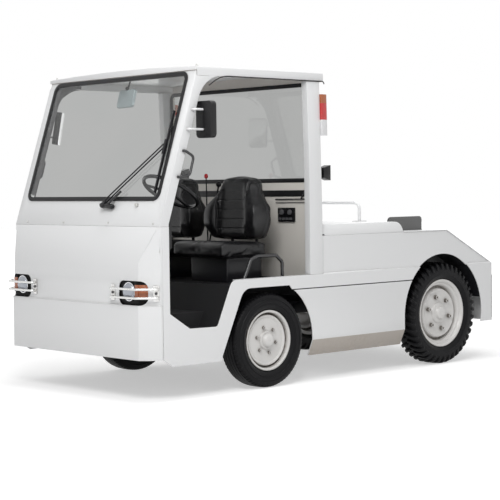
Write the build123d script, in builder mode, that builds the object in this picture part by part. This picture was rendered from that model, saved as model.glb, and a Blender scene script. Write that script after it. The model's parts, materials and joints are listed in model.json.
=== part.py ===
from build123d import *
import os
from math import cos, hypot, radians, sin, sqrt, tan

os.makedirs("parts", exist_ok=True)

# An airport baggage tug with an open-sided two-seat cab over the front axle.
# +X is the tug's left, +Y its rear and +Z up. The origin is on the ground,
# in the middle of the footprint. A station is a distance behind the front axle.

# Stance
WHEELBASE = 1650
BODY_WIDTH = 1460
BUMPER_REACH = 965
TAIL_REACH = 527
GUARD_STANDOFF = 24
GUARD_R = 7
COUPLING_PLATE = 18
JAW_REACH = 60
JAW_R = 43

SIDE_X = BODY_WIDTH / 2
TAIL_STATION = WHEELBASE + TAIL_REACH
FRONT_REACH = BUMPER_REACH + GUARD_STANDOFF + GUARD_R
REAR_REACH = TAIL_STATION + COUPLING_PLATE + JAW_REACH + JAW_R
FRONT_AXLE_Y = (FRONT_REACH - REAR_REACH) / 2

# Heights above the ground
NOSE_BOTTOM_Z = 244
BUMPER_TOP_Z = 560
NOSE_BREAK_Z = 810
NOSE_TOP_Z = 1014
GLASS_BASE_Z = 1163
PILLAR_FOOT_Z = 1060
ROOF_DRIP_Z = 1893
HEADER_TOP_Z = 1925
ROOF_EDGE_Z = 1946
ROOF_CROWN = 17
SILL_Z = 200
STEP_Z = 410
SHELF_Z = 680
PLATFORM_Z = 648
FLOOR_Z = 488
DECK_Z = 925
HOOD_TOP_Z = 992
SKIRT_TOP_Z = 592
SKIRT_CREASE_Z = 268
SKIRT_BOTTOM_Z = 165
TAIL_BOTTOM_Z = 266

# Stations along the side
CORNER_STATION = -871
STRIP_STATION = -855
DOOR_FRONT_STATION = -803
PILLAR_FRONT_STATION = 348
PILLAR_BACK_STATION = 460
HOOD_FRONT_STATION = 468
HOOD_TO_REAR_AXLE = 407
HOOD_END_STATION = WHEELBASE - HOOD_TO_REAR_AXLE
SLOPE_BEHIND_AXLE = 45
DECK_BREAK_STATION = WHEELBASE + SLOPE_BEHIND_AXLE

# Plate thicknesses and clearances
BUMPER_PLATE = 12
NOSE_SHEET = 5
SIDE_PLATE = 8
DECK_PLATE = 8
HOOD_SHEET = 4
FLOOR_SHEET = 8
ROOF_SHEET = 4
SEAT_GAP = 0.3
RUN_FIT = 0.06

# Wheels
FRONT_TYRE_R = 292
REAR_TYRE_R = 350
FRONT_TYRE_W = 156
REAR_TYRE_W = 176
FRONT_RIM_R = 187
REAR_RIM_R = 233
RIM_FACE_X = 707
FRONT_ARCH_R = 362
REAR_ARCH_R = 410


def at(station):
    return FRONT_AXLE_Y + station


def side_points(rows):
    """Points in side view from rows of (station, height, corner radius)."""
    return [(at(station), height) for station, height, radius in rows]


def corner_radii(rows):
    return [radius for station, height, radius in rows]


def parallel(points, gap):
    """The same folded line moved sideways by gap, to the right of its walk."""
    normals = []
    for (x0, y0), (x1, y1) in zip(points, points[1:]):
        run = hypot(x1 - x0, y1 - y0)
        normals.append(((y1 - y0) / run, (x0 - x1) / run))
    first = [normals[0]] + normals
    last = normals + [normals[-1]]
    moved = []
    for (x, y), (ax, ay), (bx, by) in zip(points, first, last):
        share = gap / (1 + ax * bx + ay * by)
        moved.append((x + share * (ax + bx), y + share * (ay + by)))
    return moved


def folded_sheet(points, gauge):
    """Closed outline of a folded sheet, its thickness on the right of the walk."""
    return points + parallel(points, gauge)[::-1]


def save(piece, name):
    piece.part.label = name
    export_step(piece.part, f"parts/{name}.step")


SIDES = ((1, "left"), (-1, "right"))

# Chassis frame: two channels tied by cross members
RAIL_X = 350
RAIL_W = 60
RAIL_BOTTOM_Z = 400
RAIL_TOP_Z = FLOOR_Z - FLOOR_SHEET
RAIL_PLATE = 8
RAIL_FRONT = -BUMPER_REACH + BUMPER_PLATE
RAIL_BACK = TAIL_STATION - DECK_PLATE
# station, depth along the tug
CROSS_MEMBERS = (
    (-700, 60),
    (150, 60),
    (560, 80),
    (WHEELBASE - 550, 80),
    (TAIL_STATION - 127, 60),
)
CROSS_MEMBER_TOP_Z = 440

with BuildPart() as chassis_frame:
    for side, name in SIDES:
        with BuildSketch(Plane.XZ.offset(-at(RAIL_FRONT))):
            web = side * (RAIL_X - RAIL_PLATE / 2)
            middle = side * (RAIL_X - RAIL_W / 2)
            with Locations((web, (RAIL_BOTTOM_Z + RAIL_TOP_Z) / 2)):
                Rectangle(RAIL_PLATE, RAIL_TOP_Z - RAIL_BOTTOM_Z)
            for height in (RAIL_BOTTOM_Z + RAIL_PLATE / 2, RAIL_TOP_Z - RAIL_PLATE / 2):
                with Locations((middle, height)):
                    Rectangle(RAIL_W, RAIL_PLATE)
        extrude(amount=-(RAIL_BACK - RAIL_FRONT))
    for station, depth in CROSS_MEMBERS:
        with Locations((0, at(station), (RAIL_BOTTOM_Z + CROSS_MEMBER_TOP_Z) / 2)):
            Box(2 * (RAIL_X - RAIL_PLATE), depth, CROSS_MEMBER_TOP_Z - RAIL_BOTTOM_Z)
save(chassis_frame, "chassis_frame")

# Front bumper: a thick plate folded round the nose
NOSE_FACET = BUMPER_REACH + CORNER_STATION
BUMPER_HALF = SIDE_X - NOSE_FACET
BUMPER_SEAM = 2
bumper_line = [
    (SIDE_X, at(STRIP_STATION - BUMPER_SEAM)),
    (SIDE_X, at(CORNER_STATION)),
    (BUMPER_HALF, at(-BUMPER_REACH)),
    (-BUMPER_HALF, at(-BUMPER_REACH)),
    (-SIDE_X, at(CORNER_STATION)),
    (-SIDE_X, at(STRIP_STATION - BUMPER_SEAM)),
]
with BuildPart() as front_bumper:
    with BuildSketch(Plane.XY.offset(NOSE_BOTTOM_Z)):
        with BuildLine():
            Polyline(*folded_sheet(bumper_line, BUMPER_PLATE), close=True)
        make_face()
    extrude(amount=BUMPER_TOP_Z - NOSE_BOTTOM_Z)
save(front_bumper, "front_bumper")

# Nose panel: folded sheet whose upper band leans back to the windshield
LAMP_IN_X = 448
LAMP_OUT_X = 674
LAMP_BOTTOM_Z = 562
LAMP_TOP_Z = 703
LAMP_CORNER_R = 42
# height, half width of the front face, station of the front face
NOSE_SECTIONS = (
    (BUMPER_TOP_Z, 634, -958),
    (NOSE_BREAK_Z, 629, -954),
    (NOSE_TOP_Z, 716, -876),
)


def nose_outline(half, station, inset):
    fold = inset * tan(radians(22.5))
    edge = [
        (SIDE_X - inset, at(STRIP_STATION)),
        (SIDE_X - inset, at(CORNER_STATION) + fold),
        (half - fold, at(station) + inset),
    ]
    return edge + [(-x, y) for x, y in edge[::-1]]


with BuildPart() as front_panel:
    for height, half, station in NOSE_SECTIONS:
        with BuildSketch(Plane.XY.offset(height)):
            with BuildLine():
                Polyline(*nose_outline(half, station, 0), close=True)
            make_face()
    loft(ruled=True)
    for height, half, station in NOSE_SECTIONS:
        with BuildSketch(Plane.XY.offset(height)):
            with BuildLine():
                Polyline(*nose_outline(half, station, NOSE_SHEET), close=True)
            make_face()
    loft(ruled=True, mode=Mode.SUBTRACT)
    with BuildSketch(Plane.XZ.offset(-at(CORNER_STATION))):
        for side, name in SIDES:
            with Locations((side * (LAMP_IN_X + LAMP_OUT_X) / 2, (LAMP_BOTTOM_Z + LAMP_TOP_Z) / 2)):
                RectangleRounded(LAMP_OUT_X - LAMP_IN_X, LAMP_TOP_Z - LAMP_BOTTOM_Z, LAMP_CORNER_R)
    extrude(amount=BUMPER_REACH + CORNER_STATION, mode=Mode.SUBTRACT)
save(front_panel, "front_panel")

# Windshield frame: A-pillars, cowl and header in one raked piece
RAKE = 18.16
GLASS_STATION = -825
FRAME_DEPTH = 45
PILLAR_X = 672
DOOR_CORNER_R = 190
GUSSET_BACK = -370


def glass_station(height):
    """Station of the windshield frame's front face at a height."""
    return GLASS_STATION + (height - GLASS_BASE_Z) * tan(radians(RAKE))


def door_station(height):
    """Station of the door opening's front edge, which is parallel to the glass."""
    return DOOR_FRONT_STATION + (height - NOSE_TOP_Z - 15) * tan(radians(RAKE))


# station, height, corner radius
FRAME_SIDE = (
    (glass_station(NOSE_TOP_Z), NOSE_TOP_Z, 0),
    (glass_station(HEADER_TOP_Z), HEADER_TOP_Z, 0),
    (GUSSET_BACK, HEADER_TOP_Z, 0),
    (GUSSET_BACK, ROOF_DRIP_Z, 0),
    (door_station(ROOF_DRIP_Z), ROOF_DRIP_Z, DOOR_CORNER_R),
    (DOOR_FRONT_STATION, NOSE_TOP_Z + 15, 0),
    (DOOR_FRONT_STATION, NOSE_TOP_Z, 0),
)
CAB_CUT_MARGIN = 20
glass_plane = Plane(
    origin=(0, at(GLASS_STATION), GLASS_BASE_Z),
    x_dir=(1, 0, 0),
    z_dir=(0, -cos(radians(RAKE)), sin(radians(RAKE))),
)
SEAL_HALF = 669
SEAL_HEIGHT = 796
SEAL_W = 26
SEAL_LIP = 12
SEAL_PROUD = 6
SEAL_R = 55
GLASS_THICK = 6
GLASS_GAP = 1


def glass_outline(inset):
    """Rounded windshield outline inside the seal's outer edge, in the glass plane."""
    with Locations((0, SEAL_HEIGHT / 2)):
        RectangleRounded(2 * (SEAL_HALF - inset), SEAL_HEIGHT - 2 * inset, SEAL_R - inset)


with BuildPart() as cab_front_frame:
    with BuildSketch(Plane.YZ.offset(-SIDE_X)):
        with BuildLine():
            FilletPolyline(*side_points(FRAME_SIDE), radius=corner_radii(FRAME_SIDE), close=True)
        make_face()
    extrude(amount=2 * SIDE_X)
    back = GUSSET_BACK + CAB_CUT_MARGIN
    low = NOSE_TOP_Z - CAB_CUT_MARGIN
    high = HEADER_TOP_Z + CAB_CUT_MARGIN
    with BuildSketch(Plane.YZ.offset(-PILLAR_X)):
        with BuildLine():
            Polyline(
                (at(glass_station(low) + FRAME_DEPTH), low),
                (at(glass_station(high) + FRAME_DEPTH), high),
                (at(back), high),
                (at(back), low),
                close=True,
            )
        make_face()
    extrude(amount=2 * PILLAR_X, mode=Mode.SUBTRACT)
    with BuildSketch(glass_plane):
        glass_outline(SEAL_LIP)
    extrude(amount=-2 * FRAME_DEPTH, mode=Mode.SUBTRACT)
    for side, name in SIDES:
        with Locations((side * SIDE_X, at(-500), (ROOF_DRIP_Z + HEADER_TOP_Z) / 2)):
            Box(2 * SIDE_PLATE, 400, HEADER_TOP_Z - ROOF_DRIP_Z, mode=Mode.SUBTRACT)
save(cab_front_frame, "cab_front_frame")

# Rear wall of the cab with its window, between two leaning pillars
WALL_STATION = 400
WALL_THICK = 30
REAR_PILLAR_W = 50
WALL_HALF = SIDE_X - REAR_PILLAR_W
REAR_SEAL_HALF = 678
REAR_SEAL_BOTTOM_Z = 1262
REAR_SEAL_TOP_Z = 1890
REAR_SEAL_R = 40
REAR_SEAL_PROUD = 5
STRIP_BOTTOM_Z = 1172
STRIP_TOP_Z = 1212
PILLAR_LEAN = 18
# station, height, corner radius
REAR_PILLAR = (
    (PILLAR_FRONT_STATION, SHELF_Z, 0),
    (PILLAR_FRONT_STATION, 1405, 0),
    (PILLAR_FRONT_STATION - PILLAR_LEAN, ROOF_DRIP_Z, 0),
    (PILLAR_BACK_STATION - PILLAR_LEAN, ROOF_DRIP_Z, 0),
    (PILLAR_BACK_STATION, PILLAR_FOOT_Z, 0),
    (PILLAR_BACK_STATION, SHELF_Z, 0),
)
HINGE_STATION = 496
HINGE_Z = 976
HINGE_X = 420
HINGE_PIN_R = 8
HINGE_BARREL_R = 11
HINGE_BARREL_L = 50
EAR_GAP = 7
EAR_THICK = 8
EAR_HALF = HINGE_BARREL_L / 2 + EAR_GAP
WALL_BACK = WALL_STATION + WALL_THICK


def rear_window_outline(inset, mode=Mode.ADD):
    """Rounded rear window outline inside its seal's outer edge, seen from the front."""
    with Locations((0, (REAR_SEAL_BOTTOM_Z + REAR_SEAL_TOP_Z) / 2)):
        RectangleRounded(
            2 * (REAR_SEAL_HALF - inset),
            REAR_SEAL_TOP_Z - REAR_SEAL_BOTTOM_Z - 2 * inset,
            REAR_SEAL_R - inset,
            mode=mode,
        )


with BuildPart() as rear_wall:
    with BuildSketch(Plane.XZ.offset(-at(WALL_STATION))):
        with Locations((0, (PLATFORM_Z + ROOF_DRIP_Z) / 2)):
            Rectangle(2 * WALL_HALF, ROOF_DRIP_Z - PLATFORM_Z)
        rear_window_outline(SEAL_LIP, Mode.SUBTRACT)
    extrude(amount=-WALL_THICK)
    for side, name in SIDES:
        with BuildSketch(Plane.YZ.offset(side * WALL_HALF)):
            with BuildLine():
                FilletPolyline(*side_points(REAR_PILLAR), radius=corner_radii(REAR_PILLAR), close=True)
            make_face()
        extrude(amount=side * REAR_PILLAR_W)
        for end in (-1, 1):
            ear_x = side * HINGE_X + end * (EAR_HALF + EAR_THICK / 2)
            with BuildSketch(Plane.YZ.offset(ear_x - EAR_THICK / 2)):
                with Locations((at((WALL_BACK + HINGE_STATION) / 2), HINGE_Z)):
                    Rectangle(HINGE_STATION - WALL_BACK, 2 * HINGE_BARREL_R)
                with Locations((at(HINGE_STATION), HINGE_Z)):
                    Circle(HINGE_BARREL_R)
            extrude(amount=EAR_THICK)
        with BuildSketch(Plane.YZ.offset(side * HINGE_X - EAR_HALF)):
            with Locations((at(HINGE_STATION), HINGE_Z)):
                Circle(HINGE_PIN_R)
        extrude(amount=2 * EAR_HALF)
save(rear_wall, "rear_wall")

# Glass panes and the rubber round them
with BuildPart() as cab_glass:
    with BuildSketch(glass_plane):
        glass_outline(SEAL_LIP + GLASS_GAP)
    extrude(amount=-GLASS_THICK)
    with BuildSketch(Plane.XZ.offset(-at(WALL_STATION))):
        rear_window_outline(SEAL_LIP + GLASS_GAP)
    extrude(amount=-GLASS_THICK)
save(cab_glass, "cab_glass")

with BuildPart() as glass_seals:
    with BuildSketch(glass_plane):
        glass_outline(0)
    extrude(amount=SEAL_PROUD)
    with BuildSketch(glass_plane):
        glass_outline(SEAL_W)
    extrude(amount=SEAL_PROUD, mode=Mode.SUBTRACT)
    with BuildSketch(Plane.XZ.offset(-at(WALL_STATION))):
        rear_window_outline(0)
    extrude(amount=REAR_SEAL_PROUD)
    with BuildSketch(Plane.XZ.offset(-at(WALL_STATION))):
        rear_window_outline(SEAL_W)
    extrude(amount=REAR_SEAL_PROUD, mode=Mode.SUBTRACT)
    with Locations((0, at(WALL_STATION - REAR_SEAL_PROUD / 2), (STRIP_BOTTOM_Z + STRIP_TOP_Z) / 2)):
        Box(2 * REAR_SEAL_HALF, REAR_SEAL_PROUD, STRIP_TOP_Z - STRIP_BOTTOM_Z)
save(glass_seals, "glass_seals")

# Roof: a shallow tray with a crowned top
ROOF_FRONT_STATION = -583
ROOF_BACK_STATION = 476
ROOF_LIP = 12


def roof_outline(inset):
    """Lines of the crowned cross section, inside the outer skin by the inset."""
    half = SIDE_X - inset
    edge = Line((-half, ROOF_DRIP_Z), (-half, ROOF_EDGE_Z - inset))
    crown = ThreePointArc(edge @ 1, (0, ROOF_EDGE_Z + ROOF_CROWN - inset), (half, ROOF_EDGE_Z - inset))
    Polyline(crown @ 1, (half, ROOF_DRIP_Z), edge @ 0)


with BuildPart() as roof_panel:
    with BuildSketch(Plane.XZ.offset(-at(ROOF_FRONT_STATION))):
        with BuildLine():
            roof_outline(0)
        make_face()
    extrude(amount=-(ROOF_BACK_STATION - ROOF_FRONT_STATION))
    with BuildSketch(Plane.XZ.offset(-at(ROOF_FRONT_STATION + ROOF_LIP))):
        with BuildLine():
            roof_outline(ROOF_SHEET)
        make_face()
    extrude(amount=-(ROOF_BACK_STATION - ROOF_FRONT_STATION - 2 * ROOF_LIP), mode=Mode.SUBTRACT)
    with Locations((0, at(ROOF_FRONT_STATION), (ROOF_DRIP_Z + HEADER_TOP_Z) / 2)):
        Box(2 * SIDE_X, 2 * ROOF_LIP, HEADER_TOP_Z - ROOF_DRIP_Z, mode=Mode.SUBTRACT)
save(roof_panel, "roof_panel")

# Cab floor: bulkhead, floor, slanted riser and seat platform in one folded sheet
STEP_X = 560
INNER_X = SIDE_X - SIDE_PLATE
RISER_BACK = -318
WELL_FOOT = -446
BULKHEAD_STATION = -800
BULKHEAD_TOP_Z = 860
WELL_Z = 403
WELL_TOP_Z = 500
WELL_SLOPE_FOOT = -650
ENGINE_WALL_Z = 540
RISER_FOOT = WELL_FOOT + (RISER_BACK - WELL_FOOT) * (FLOOR_Z - WELL_Z) / (PLATFORM_Z - WELL_Z)
cheek_front = BULKHEAD_STATION + (WELL_SLOPE_FOOT - BULKHEAD_STATION) * (WELL_TOP_Z - FLOOR_Z) / (WELL_TOP_Z - WELL_Z)
floor_line = [
    (at(BULKHEAD_STATION), BULKHEAD_TOP_Z),
    (at(BULKHEAD_STATION), FLOOR_Z),
    (at(RISER_FOOT), FLOOR_Z),
    (at(RISER_BACK), PLATFORM_Z),
    (at(WALL_STATION - FLOOR_SHEET), PLATFORM_Z),
    (at(WALL_STATION - FLOOR_SHEET), ENGINE_WALL_Z),
]
well_line = [
    (at(BULKHEAD_STATION), BULKHEAD_TOP_Z),
    (at(BULKHEAD_STATION), WELL_TOP_Z),
    (at(WELL_SLOPE_FOOT), WELL_Z),
    (at(WELL_FOOT), WELL_Z),
    (at(RISER_BACK), PLATFORM_Z),
    (at(WALL_STATION - FLOOR_SHEET), PLATFORM_Z),
]
with BuildPart() as cab_floor:
    with BuildSketch(Plane.YZ.offset(-STEP_X)):
        with BuildLine():
            Polyline(*folded_sheet(floor_line, FLOOR_SHEET), close=True)
        make_face()
    extrude(amount=2 * STEP_X)
    for side, name in SIDES:
        with BuildSketch(Plane.YZ.offset(side * (STEP_X - FLOOR_SHEET))):
            with BuildLine():
                Polyline(*folded_sheet(well_line, FLOOR_SHEET), close=True)
            make_face()
        extrude(amount=side * (INNER_X - STEP_X + FLOOR_SHEET))
        with BuildSketch(Plane.YZ.offset(side * STEP_X)):
            with BuildLine():
                Polyline(
                    (at(cheek_front), FLOOR_Z),
                    (at(WELL_SLOPE_FOOT), WELL_Z),
                    (at(WELL_FOOT), WELL_Z),
                    (at(RISER_FOOT), FLOOR_Z),
                    close=True,
                )
            make_face()
        extrude(amount=-side * FLOOR_SHEET)
    with Locations((0, at(WALL_STATION + WALL_THICK / 2), PLATFORM_Z - FLOOR_SHEET / 2)):
        Box(2 * WALL_HALF, WALL_THICK + 2 * FLOOR_SHEET, FLOOR_SHEET)
save(cab_floor, "cab_floor")

# Side panels: strip, sill, front arch, shelf, quarter panel and rear arch
QUARTER_INSET = 12
QUARTER_X = SIDE_X - QUARTER_INSET
SHELF_W = 50
ARCH_TOP_Z = 624
# station, height, corner radius
SILL_CLIP = 70
SIDE_LOWER = (
    (STRIP_STATION + SILL_CLIP, SILL_Z, 0),
    (STRIP_STATION, NOSE_BOTTOM_Z, 0),
    (STRIP_STATION, NOSE_TOP_Z, 0),
    (DOOR_FRONT_STATION, NOSE_TOP_Z, 0),
    (DOOR_FRONT_STATION, 509, 12),
    (-654, STEP_Z + 4, 12),
    (-437, STEP_Z, 25),
    (-316, SHELF_Z, 55),
    (TAIL_STATION - DECK_PLATE, SHELF_Z, 0),
    (TAIL_STATION - DECK_PLATE, TAIL_BOTTOM_Z, 0),
    (WHEELBASE, TAIL_BOTTOM_Z, 0),
    (WHEELBASE, SKIRT_TOP_Z + 6, 0),
    (185, SKIRT_TOP_Z + 6, 0),
    (163, ARCH_TOP_Z, 0),
    (-222, ARCH_TOP_Z, 90),
    (-415, SILL_Z, 0),
)
deck_line = [
    (at(HOOD_END_STATION + 2), DECK_Z),
    (at(DECK_BREAK_STATION), DECK_Z),
    (at(TAIL_STATION), SHELF_Z + 3),
]
deck_under = parallel(deck_line, DECK_PLATE)
QUARTER_TOP_Z = DECK_Z - 3
TAIL_INNER_Y = at(TAIL_STATION - DECK_PLATE)
slope_run = (deck_under[2][1] - deck_under[1][1]) / (deck_under[2][0] - deck_under[1][0])
TAIL_UNDER_Z = deck_under[1][1] + (TAIL_INNER_Y - deck_under[1][0]) * slope_run

for side, name in SIDES:
    with BuildPart() as side_panel:
        with BuildSketch(Plane.YZ.offset(INNER_X)):
            with BuildLine():
                FilletPolyline(*side_points(SIDE_LOWER), radius=corner_radii(SIDE_LOWER), close=True)
            make_face()
        extrude(amount=SIDE_PLATE)
        with BuildSketch(Plane.YZ.offset(QUARTER_X - SIDE_PLATE)):
            with BuildLine():
                Polyline(
                    (at(PILLAR_BACK_STATION), SHELF_Z - SIDE_PLATE),
                    (at(PILLAR_BACK_STATION), QUARTER_TOP_Z),
                    (at(HOOD_END_STATION + 2), QUARTER_TOP_Z),
                    (at(HOOD_END_STATION + 2), DECK_Z - DECK_PLATE),
                    deck_under[1],
                    (TAIL_INNER_Y, TAIL_UNDER_Z),
                    (TAIL_INNER_Y, SHELF_Z - SIDE_PLATE),
                    close=True,
                )
            make_face()
        extrude(amount=SIDE_PLATE)
        shelf_mid = (INNER_X + QUARTER_X - SIDE_PLATE) / 2
        quarter_back = TAIL_STATION - 2 * DECK_PLATE
        quarter_length = quarter_back - PILLAR_BACK_STATION
        quarter_mid = (quarter_back + PILLAR_BACK_STATION) / 2
        with Locations((shelf_mid, at(quarter_mid), SHELF_Z - SIDE_PLATE / 2)):
            Box(QUARTER_INSET, quarter_length, SIDE_PLATE)
        shelf_front = -270
        with Locations(
            (
                SIDE_X - (SHELF_W + SIDE_PLATE) / 2,
                at((shelf_front + PILLAR_BACK_STATION) / 2),
                SHELF_Z - SIDE_PLATE / 2,
            )
        ):
            Box(SHELF_W - SIDE_PLATE, PILLAR_BACK_STATION - shelf_front, SIDE_PLATE)
        with BuildSketch(Plane.YZ.offset(QUARTER_X - 2 * SIDE_PLATE)):
            with Locations((at(WHEELBASE), REAR_TYRE_R)):
                Circle(REAR_ARCH_R)
        extrude(amount=4 * SIDE_PLATE, mode=Mode.SUBTRACT)
        if side < 0:
            mirror(about=Plane.YZ, mode=Mode.REPLACE)
    save(side_panel, f"side_panel_{name}")

# Side skirts between the arches, folded inwards below a crease
SKIRT_FOLD = 45
SKIRT_LAP = 44
skirt_front_station = sqrt(FRONT_ARCH_R**2 - (SKIRT_TOP_Z - FRONT_TYRE_R) ** 2)
skirt_top_reach = sqrt(REAR_ARCH_R**2 - (SKIRT_TOP_Z - REAR_TYRE_R) ** 2)
skirt_back_station = WHEELBASE - skirt_top_reach
skirt_line = [
    (SIDE_X - SKIRT_FOLD, SKIRT_BOTTOM_Z),
    (SIDE_X, SKIRT_CREASE_Z),
    (SIDE_X, SKIRT_TOP_Z),
]
skirt_under = parallel([(-x, z) for x, z in skirt_line], SIDE_PLATE)
with BuildPart() as side_skirts:
    for side, name in SIDES:
        with BuildSketch(Plane.XZ.offset(-at(skirt_front_station))):
            with BuildLine():
                outer = [(side * x, z) for x, z in skirt_line]
                inner = [(-side * x, z) for x, z in skirt_under]
                Polyline(*outer, *inner[::-1], close=True)
            make_face()
        extrude(amount=-(skirt_back_station - skirt_front_station))
        lap_x = side * (INNER_X - SIDE_PLATE / 2)
        lap_mid = (skirt_front_station + skirt_back_station) / 2
        lap_length = skirt_back_station - skirt_front_station - 2 * SKIRT_LAP
        with Locations((lap_x, at(lap_mid), SKIRT_TOP_Z)):
            Box(SIDE_PLATE, lap_length, SKIRT_LAP)
    with BuildSketch(Plane.YZ.offset(-SIDE_X)):
        with Locations((at(0), FRONT_TYRE_R)):
            Circle(FRONT_ARCH_R)
        with Locations((at(0), (SKIRT_BOTTOM_Z + FRONT_TYRE_R) / 2 - SIDE_PLATE)):
            Rectangle(2 * FRONT_ARCH_R, FRONT_TYRE_R - SKIRT_BOTTOM_Z + 2 * SIDE_PLATE)
        with Locations((at(WHEELBASE), REAR_TYRE_R)):
            Circle(REAR_ARCH_R)
        with Locations((at(WHEELBASE), (SKIRT_BOTTOM_Z + REAR_TYRE_R) / 2 - SIDE_PLATE)):
            Rectangle(2 * REAR_ARCH_R, REAR_TYRE_R - SKIRT_BOTTOM_Z + 2 * SIDE_PLATE)
    extrude(amount=2 * SIDE_X, mode=Mode.SUBTRACT)
save(side_skirts, "side_skirts")

# Rear deck, slope and tail plate
with BuildPart() as rear_deck:
    with BuildSketch(Plane.YZ.offset(-QUARTER_X)):
        with BuildLine():
            Polyline(
                *deck_line,
                (TAIL_INNER_Y, SHELF_Z),
                (TAIL_INNER_Y, TAIL_UNDER_Z),
                *deck_under[1::-1],
                close=True,
            )
        make_face()
    extrude(amount=2 * QUARTER_X)
    with BuildSketch(Plane.XZ.offset(-TAIL_INNER_Y)):
        with Locations((0, (TAIL_BOTTOM_Z + SHELF_Z) / 2)):
            Rectangle(2 * SIDE_X, SHELF_Z - TAIL_BOTTOM_Z)
    extrude(amount=-DECK_PLATE)
save(rear_deck, "rear_deck")

# Engine hood: an inverted tray, with hinge barrels at its front edge
HOOD_HALF_BOTTOM = QUARTER_X
HOOD_HALF_TOP = 702
HOOD_BOTTOM_Z = QUARTER_TOP_Z + SEAT_GAP
HOOD_END_R = 60
HOOD_CLIP = 34
HOOD_CLIP_Z = 14
NOTCH_HALF = EAR_HALF + EAR_THICK + 10
NOTCH_BACK = 522


def hood_form(inset):
    """The hood as a solid, inside its outer skin by the inset."""
    with BuildPart() as form:
        with BuildSketch(Plane.YZ.offset(-SIDE_X)):
            with BuildLine():
                FilletPolyline(
                    (at(HOOD_FRONT_STATION - inset), HOOD_BOTTOM_Z + HOOD_CLIP_Z),
                    (at(HOOD_FRONT_STATION - inset), HOOD_TOP_Z - inset),
                    (at(HOOD_END_STATION - inset), HOOD_TOP_Z - inset),
                    (at(HOOD_END_STATION - inset), HOOD_BOTTOM_Z),
                    (at(HOOD_FRONT_STATION + HOOD_CLIP), HOOD_BOTTOM_Z),
                    radius=(0, 0, HOOD_END_R - inset, 0, 0),
                    close=True,
                )
            make_face()
        extrude(amount=2 * SIDE_X)
        with BuildSketch(Plane.XZ.offset(-at(0))):
            with BuildLine():
                Polyline(
                    (-HOOD_HALF_BOTTOM + inset, HOOD_BOTTOM_Z),
                    (-HOOD_HALF_TOP + inset, HOOD_TOP_Z),
                    (HOOD_HALF_TOP - inset, HOOD_TOP_Z),
                    (HOOD_HALF_BOTTOM - inset, HOOD_BOTTOM_Z),
                    close=True,
                )
            make_face()
        extrude(amount=-TAIL_STATION, mode=Mode.INTERSECT)
    return form.part


hood_outer = hood_form(0)
hood_inner = hood_form(HOOD_SHEET)
with BuildPart() as engine_hood:
    add(hood_outer)
    add(hood_inner, mode=Mode.SUBTRACT)
    for side, name in SIDES:
        with Locations((side * HINGE_X, at((HOOD_FRONT_STATION + NOTCH_BACK) / 2), HOOD_TOP_Z)):
            Box(2 * NOTCH_HALF, NOTCH_BACK - HOOD_FRONT_STATION + 2, 4 * HOOD_SHEET, mode=Mode.SUBTRACT)
        with BuildSketch(Plane.YZ.offset(side * HINGE_X - HINGE_BARREL_L / 2)):
            with Locations((at(HINGE_STATION), HINGE_Z)):
                Circle(HINGE_BARREL_R)
            with BuildLine():
                Polyline(
                    (at(HINGE_STATION), HINGE_Z),
                    (at(HINGE_STATION), HINGE_Z + HINGE_BARREL_R),
                    (at(NOTCH_BACK), HOOD_TOP_Z - HOOD_SHEET),
                    (at(NOTCH_BACK + 40), HOOD_TOP_Z - HOOD_SHEET),
                    (at(NOTCH_BACK), HINGE_Z),
                    close=True,
                )
            make_face()
            with Locations((at(HINGE_STATION), HINGE_Z)):
                Circle(HINGE_PIN_R + RUN_FIT, mode=Mode.SUBTRACT)
        extrude(amount=HINGE_BARREL_L)
save(engine_hood, "engine_hood")

# Hoop across the hood, for lifting it and for stopping luggage
HOOP_STATION = HOOD_END_STATION - 93
HOOP_HALF = 405
HOOP_TOP_Z = 1120
HOOP_R = 11
HOOP_BEND_R = 45
HOOP_FOOT = 70
HOOP_FOOT_THICK = 6
with BuildPart() as hood_hoop:
    with BuildLine():
        FilletPolyline(
            (-HOOP_HALF, at(HOOP_STATION), HOOD_TOP_Z),
            (-HOOP_HALF, at(HOOP_STATION), HOOP_TOP_Z),
            (HOOP_HALF, at(HOOP_STATION), HOOP_TOP_Z),
            (HOOP_HALF, at(HOOP_STATION), HOOD_TOP_Z),
            radius=HOOP_BEND_R,
        )
    with BuildSketch(Plane.XY.offset(HOOD_TOP_Z)):
        with Locations((-HOOP_HALF, at(HOOP_STATION))):
            Circle(HOOP_R)
    sweep()
    for side, name in SIDES:
        with Locations((side * HOOP_HALF, at(HOOP_STATION), HOOD_TOP_Z + HOOP_FOOT_THICK / 2)):
            Box(HOOP_FOOT, HOOP_FOOT, HOOP_FOOT_THICK)
save(hood_hoop, "hood_hoop")

# Liners that close the rear wheel housings
LINER_X = 536
LINER_SHEET = 4
LINER_FOOT_Z = 440
with BuildPart() as wheel_liners:
    for side, name in SIDES:
        with BuildSketch(Plane.YZ.offset(side * LINER_X)):
            with Locations((at(WHEELBASE), REAR_TYRE_R)):
                Circle(REAR_ARCH_R + LINER_SHEET)
        extrude(amount=side * (INNER_X - LINER_X))
        with BuildSketch(Plane.YZ.offset(side * (LINER_X + LINER_SHEET))):
            with Locations((at(WHEELBASE), REAR_TYRE_R)):
                Circle(REAR_ARCH_R)
        extrude(amount=side * (INNER_X - LINER_X), mode=Mode.SUBTRACT)
    with Locations((0, at(WHEELBASE), LINER_FOOT_Z - REAR_ARCH_R)):
        Box(2 * SIDE_X, 4 * REAR_ARCH_R, 2 * REAR_ARCH_R, mode=Mode.SUBTRACT)
    for side, name in SIDES:
        with Locations((side * SIDE_X, at(WHEELBASE), SHELF_Z - SIDE_PLATE + REAR_ARCH_R / 2)):
            Box(
                2 * (SIDE_X - QUARTER_X + SIDE_PLATE),
                2 * REAR_ARCH_R,
                REAR_ARCH_R,
                mode=Mode.SUBTRACT,
            )
save(wheel_liners, "wheel_liners")

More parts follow.
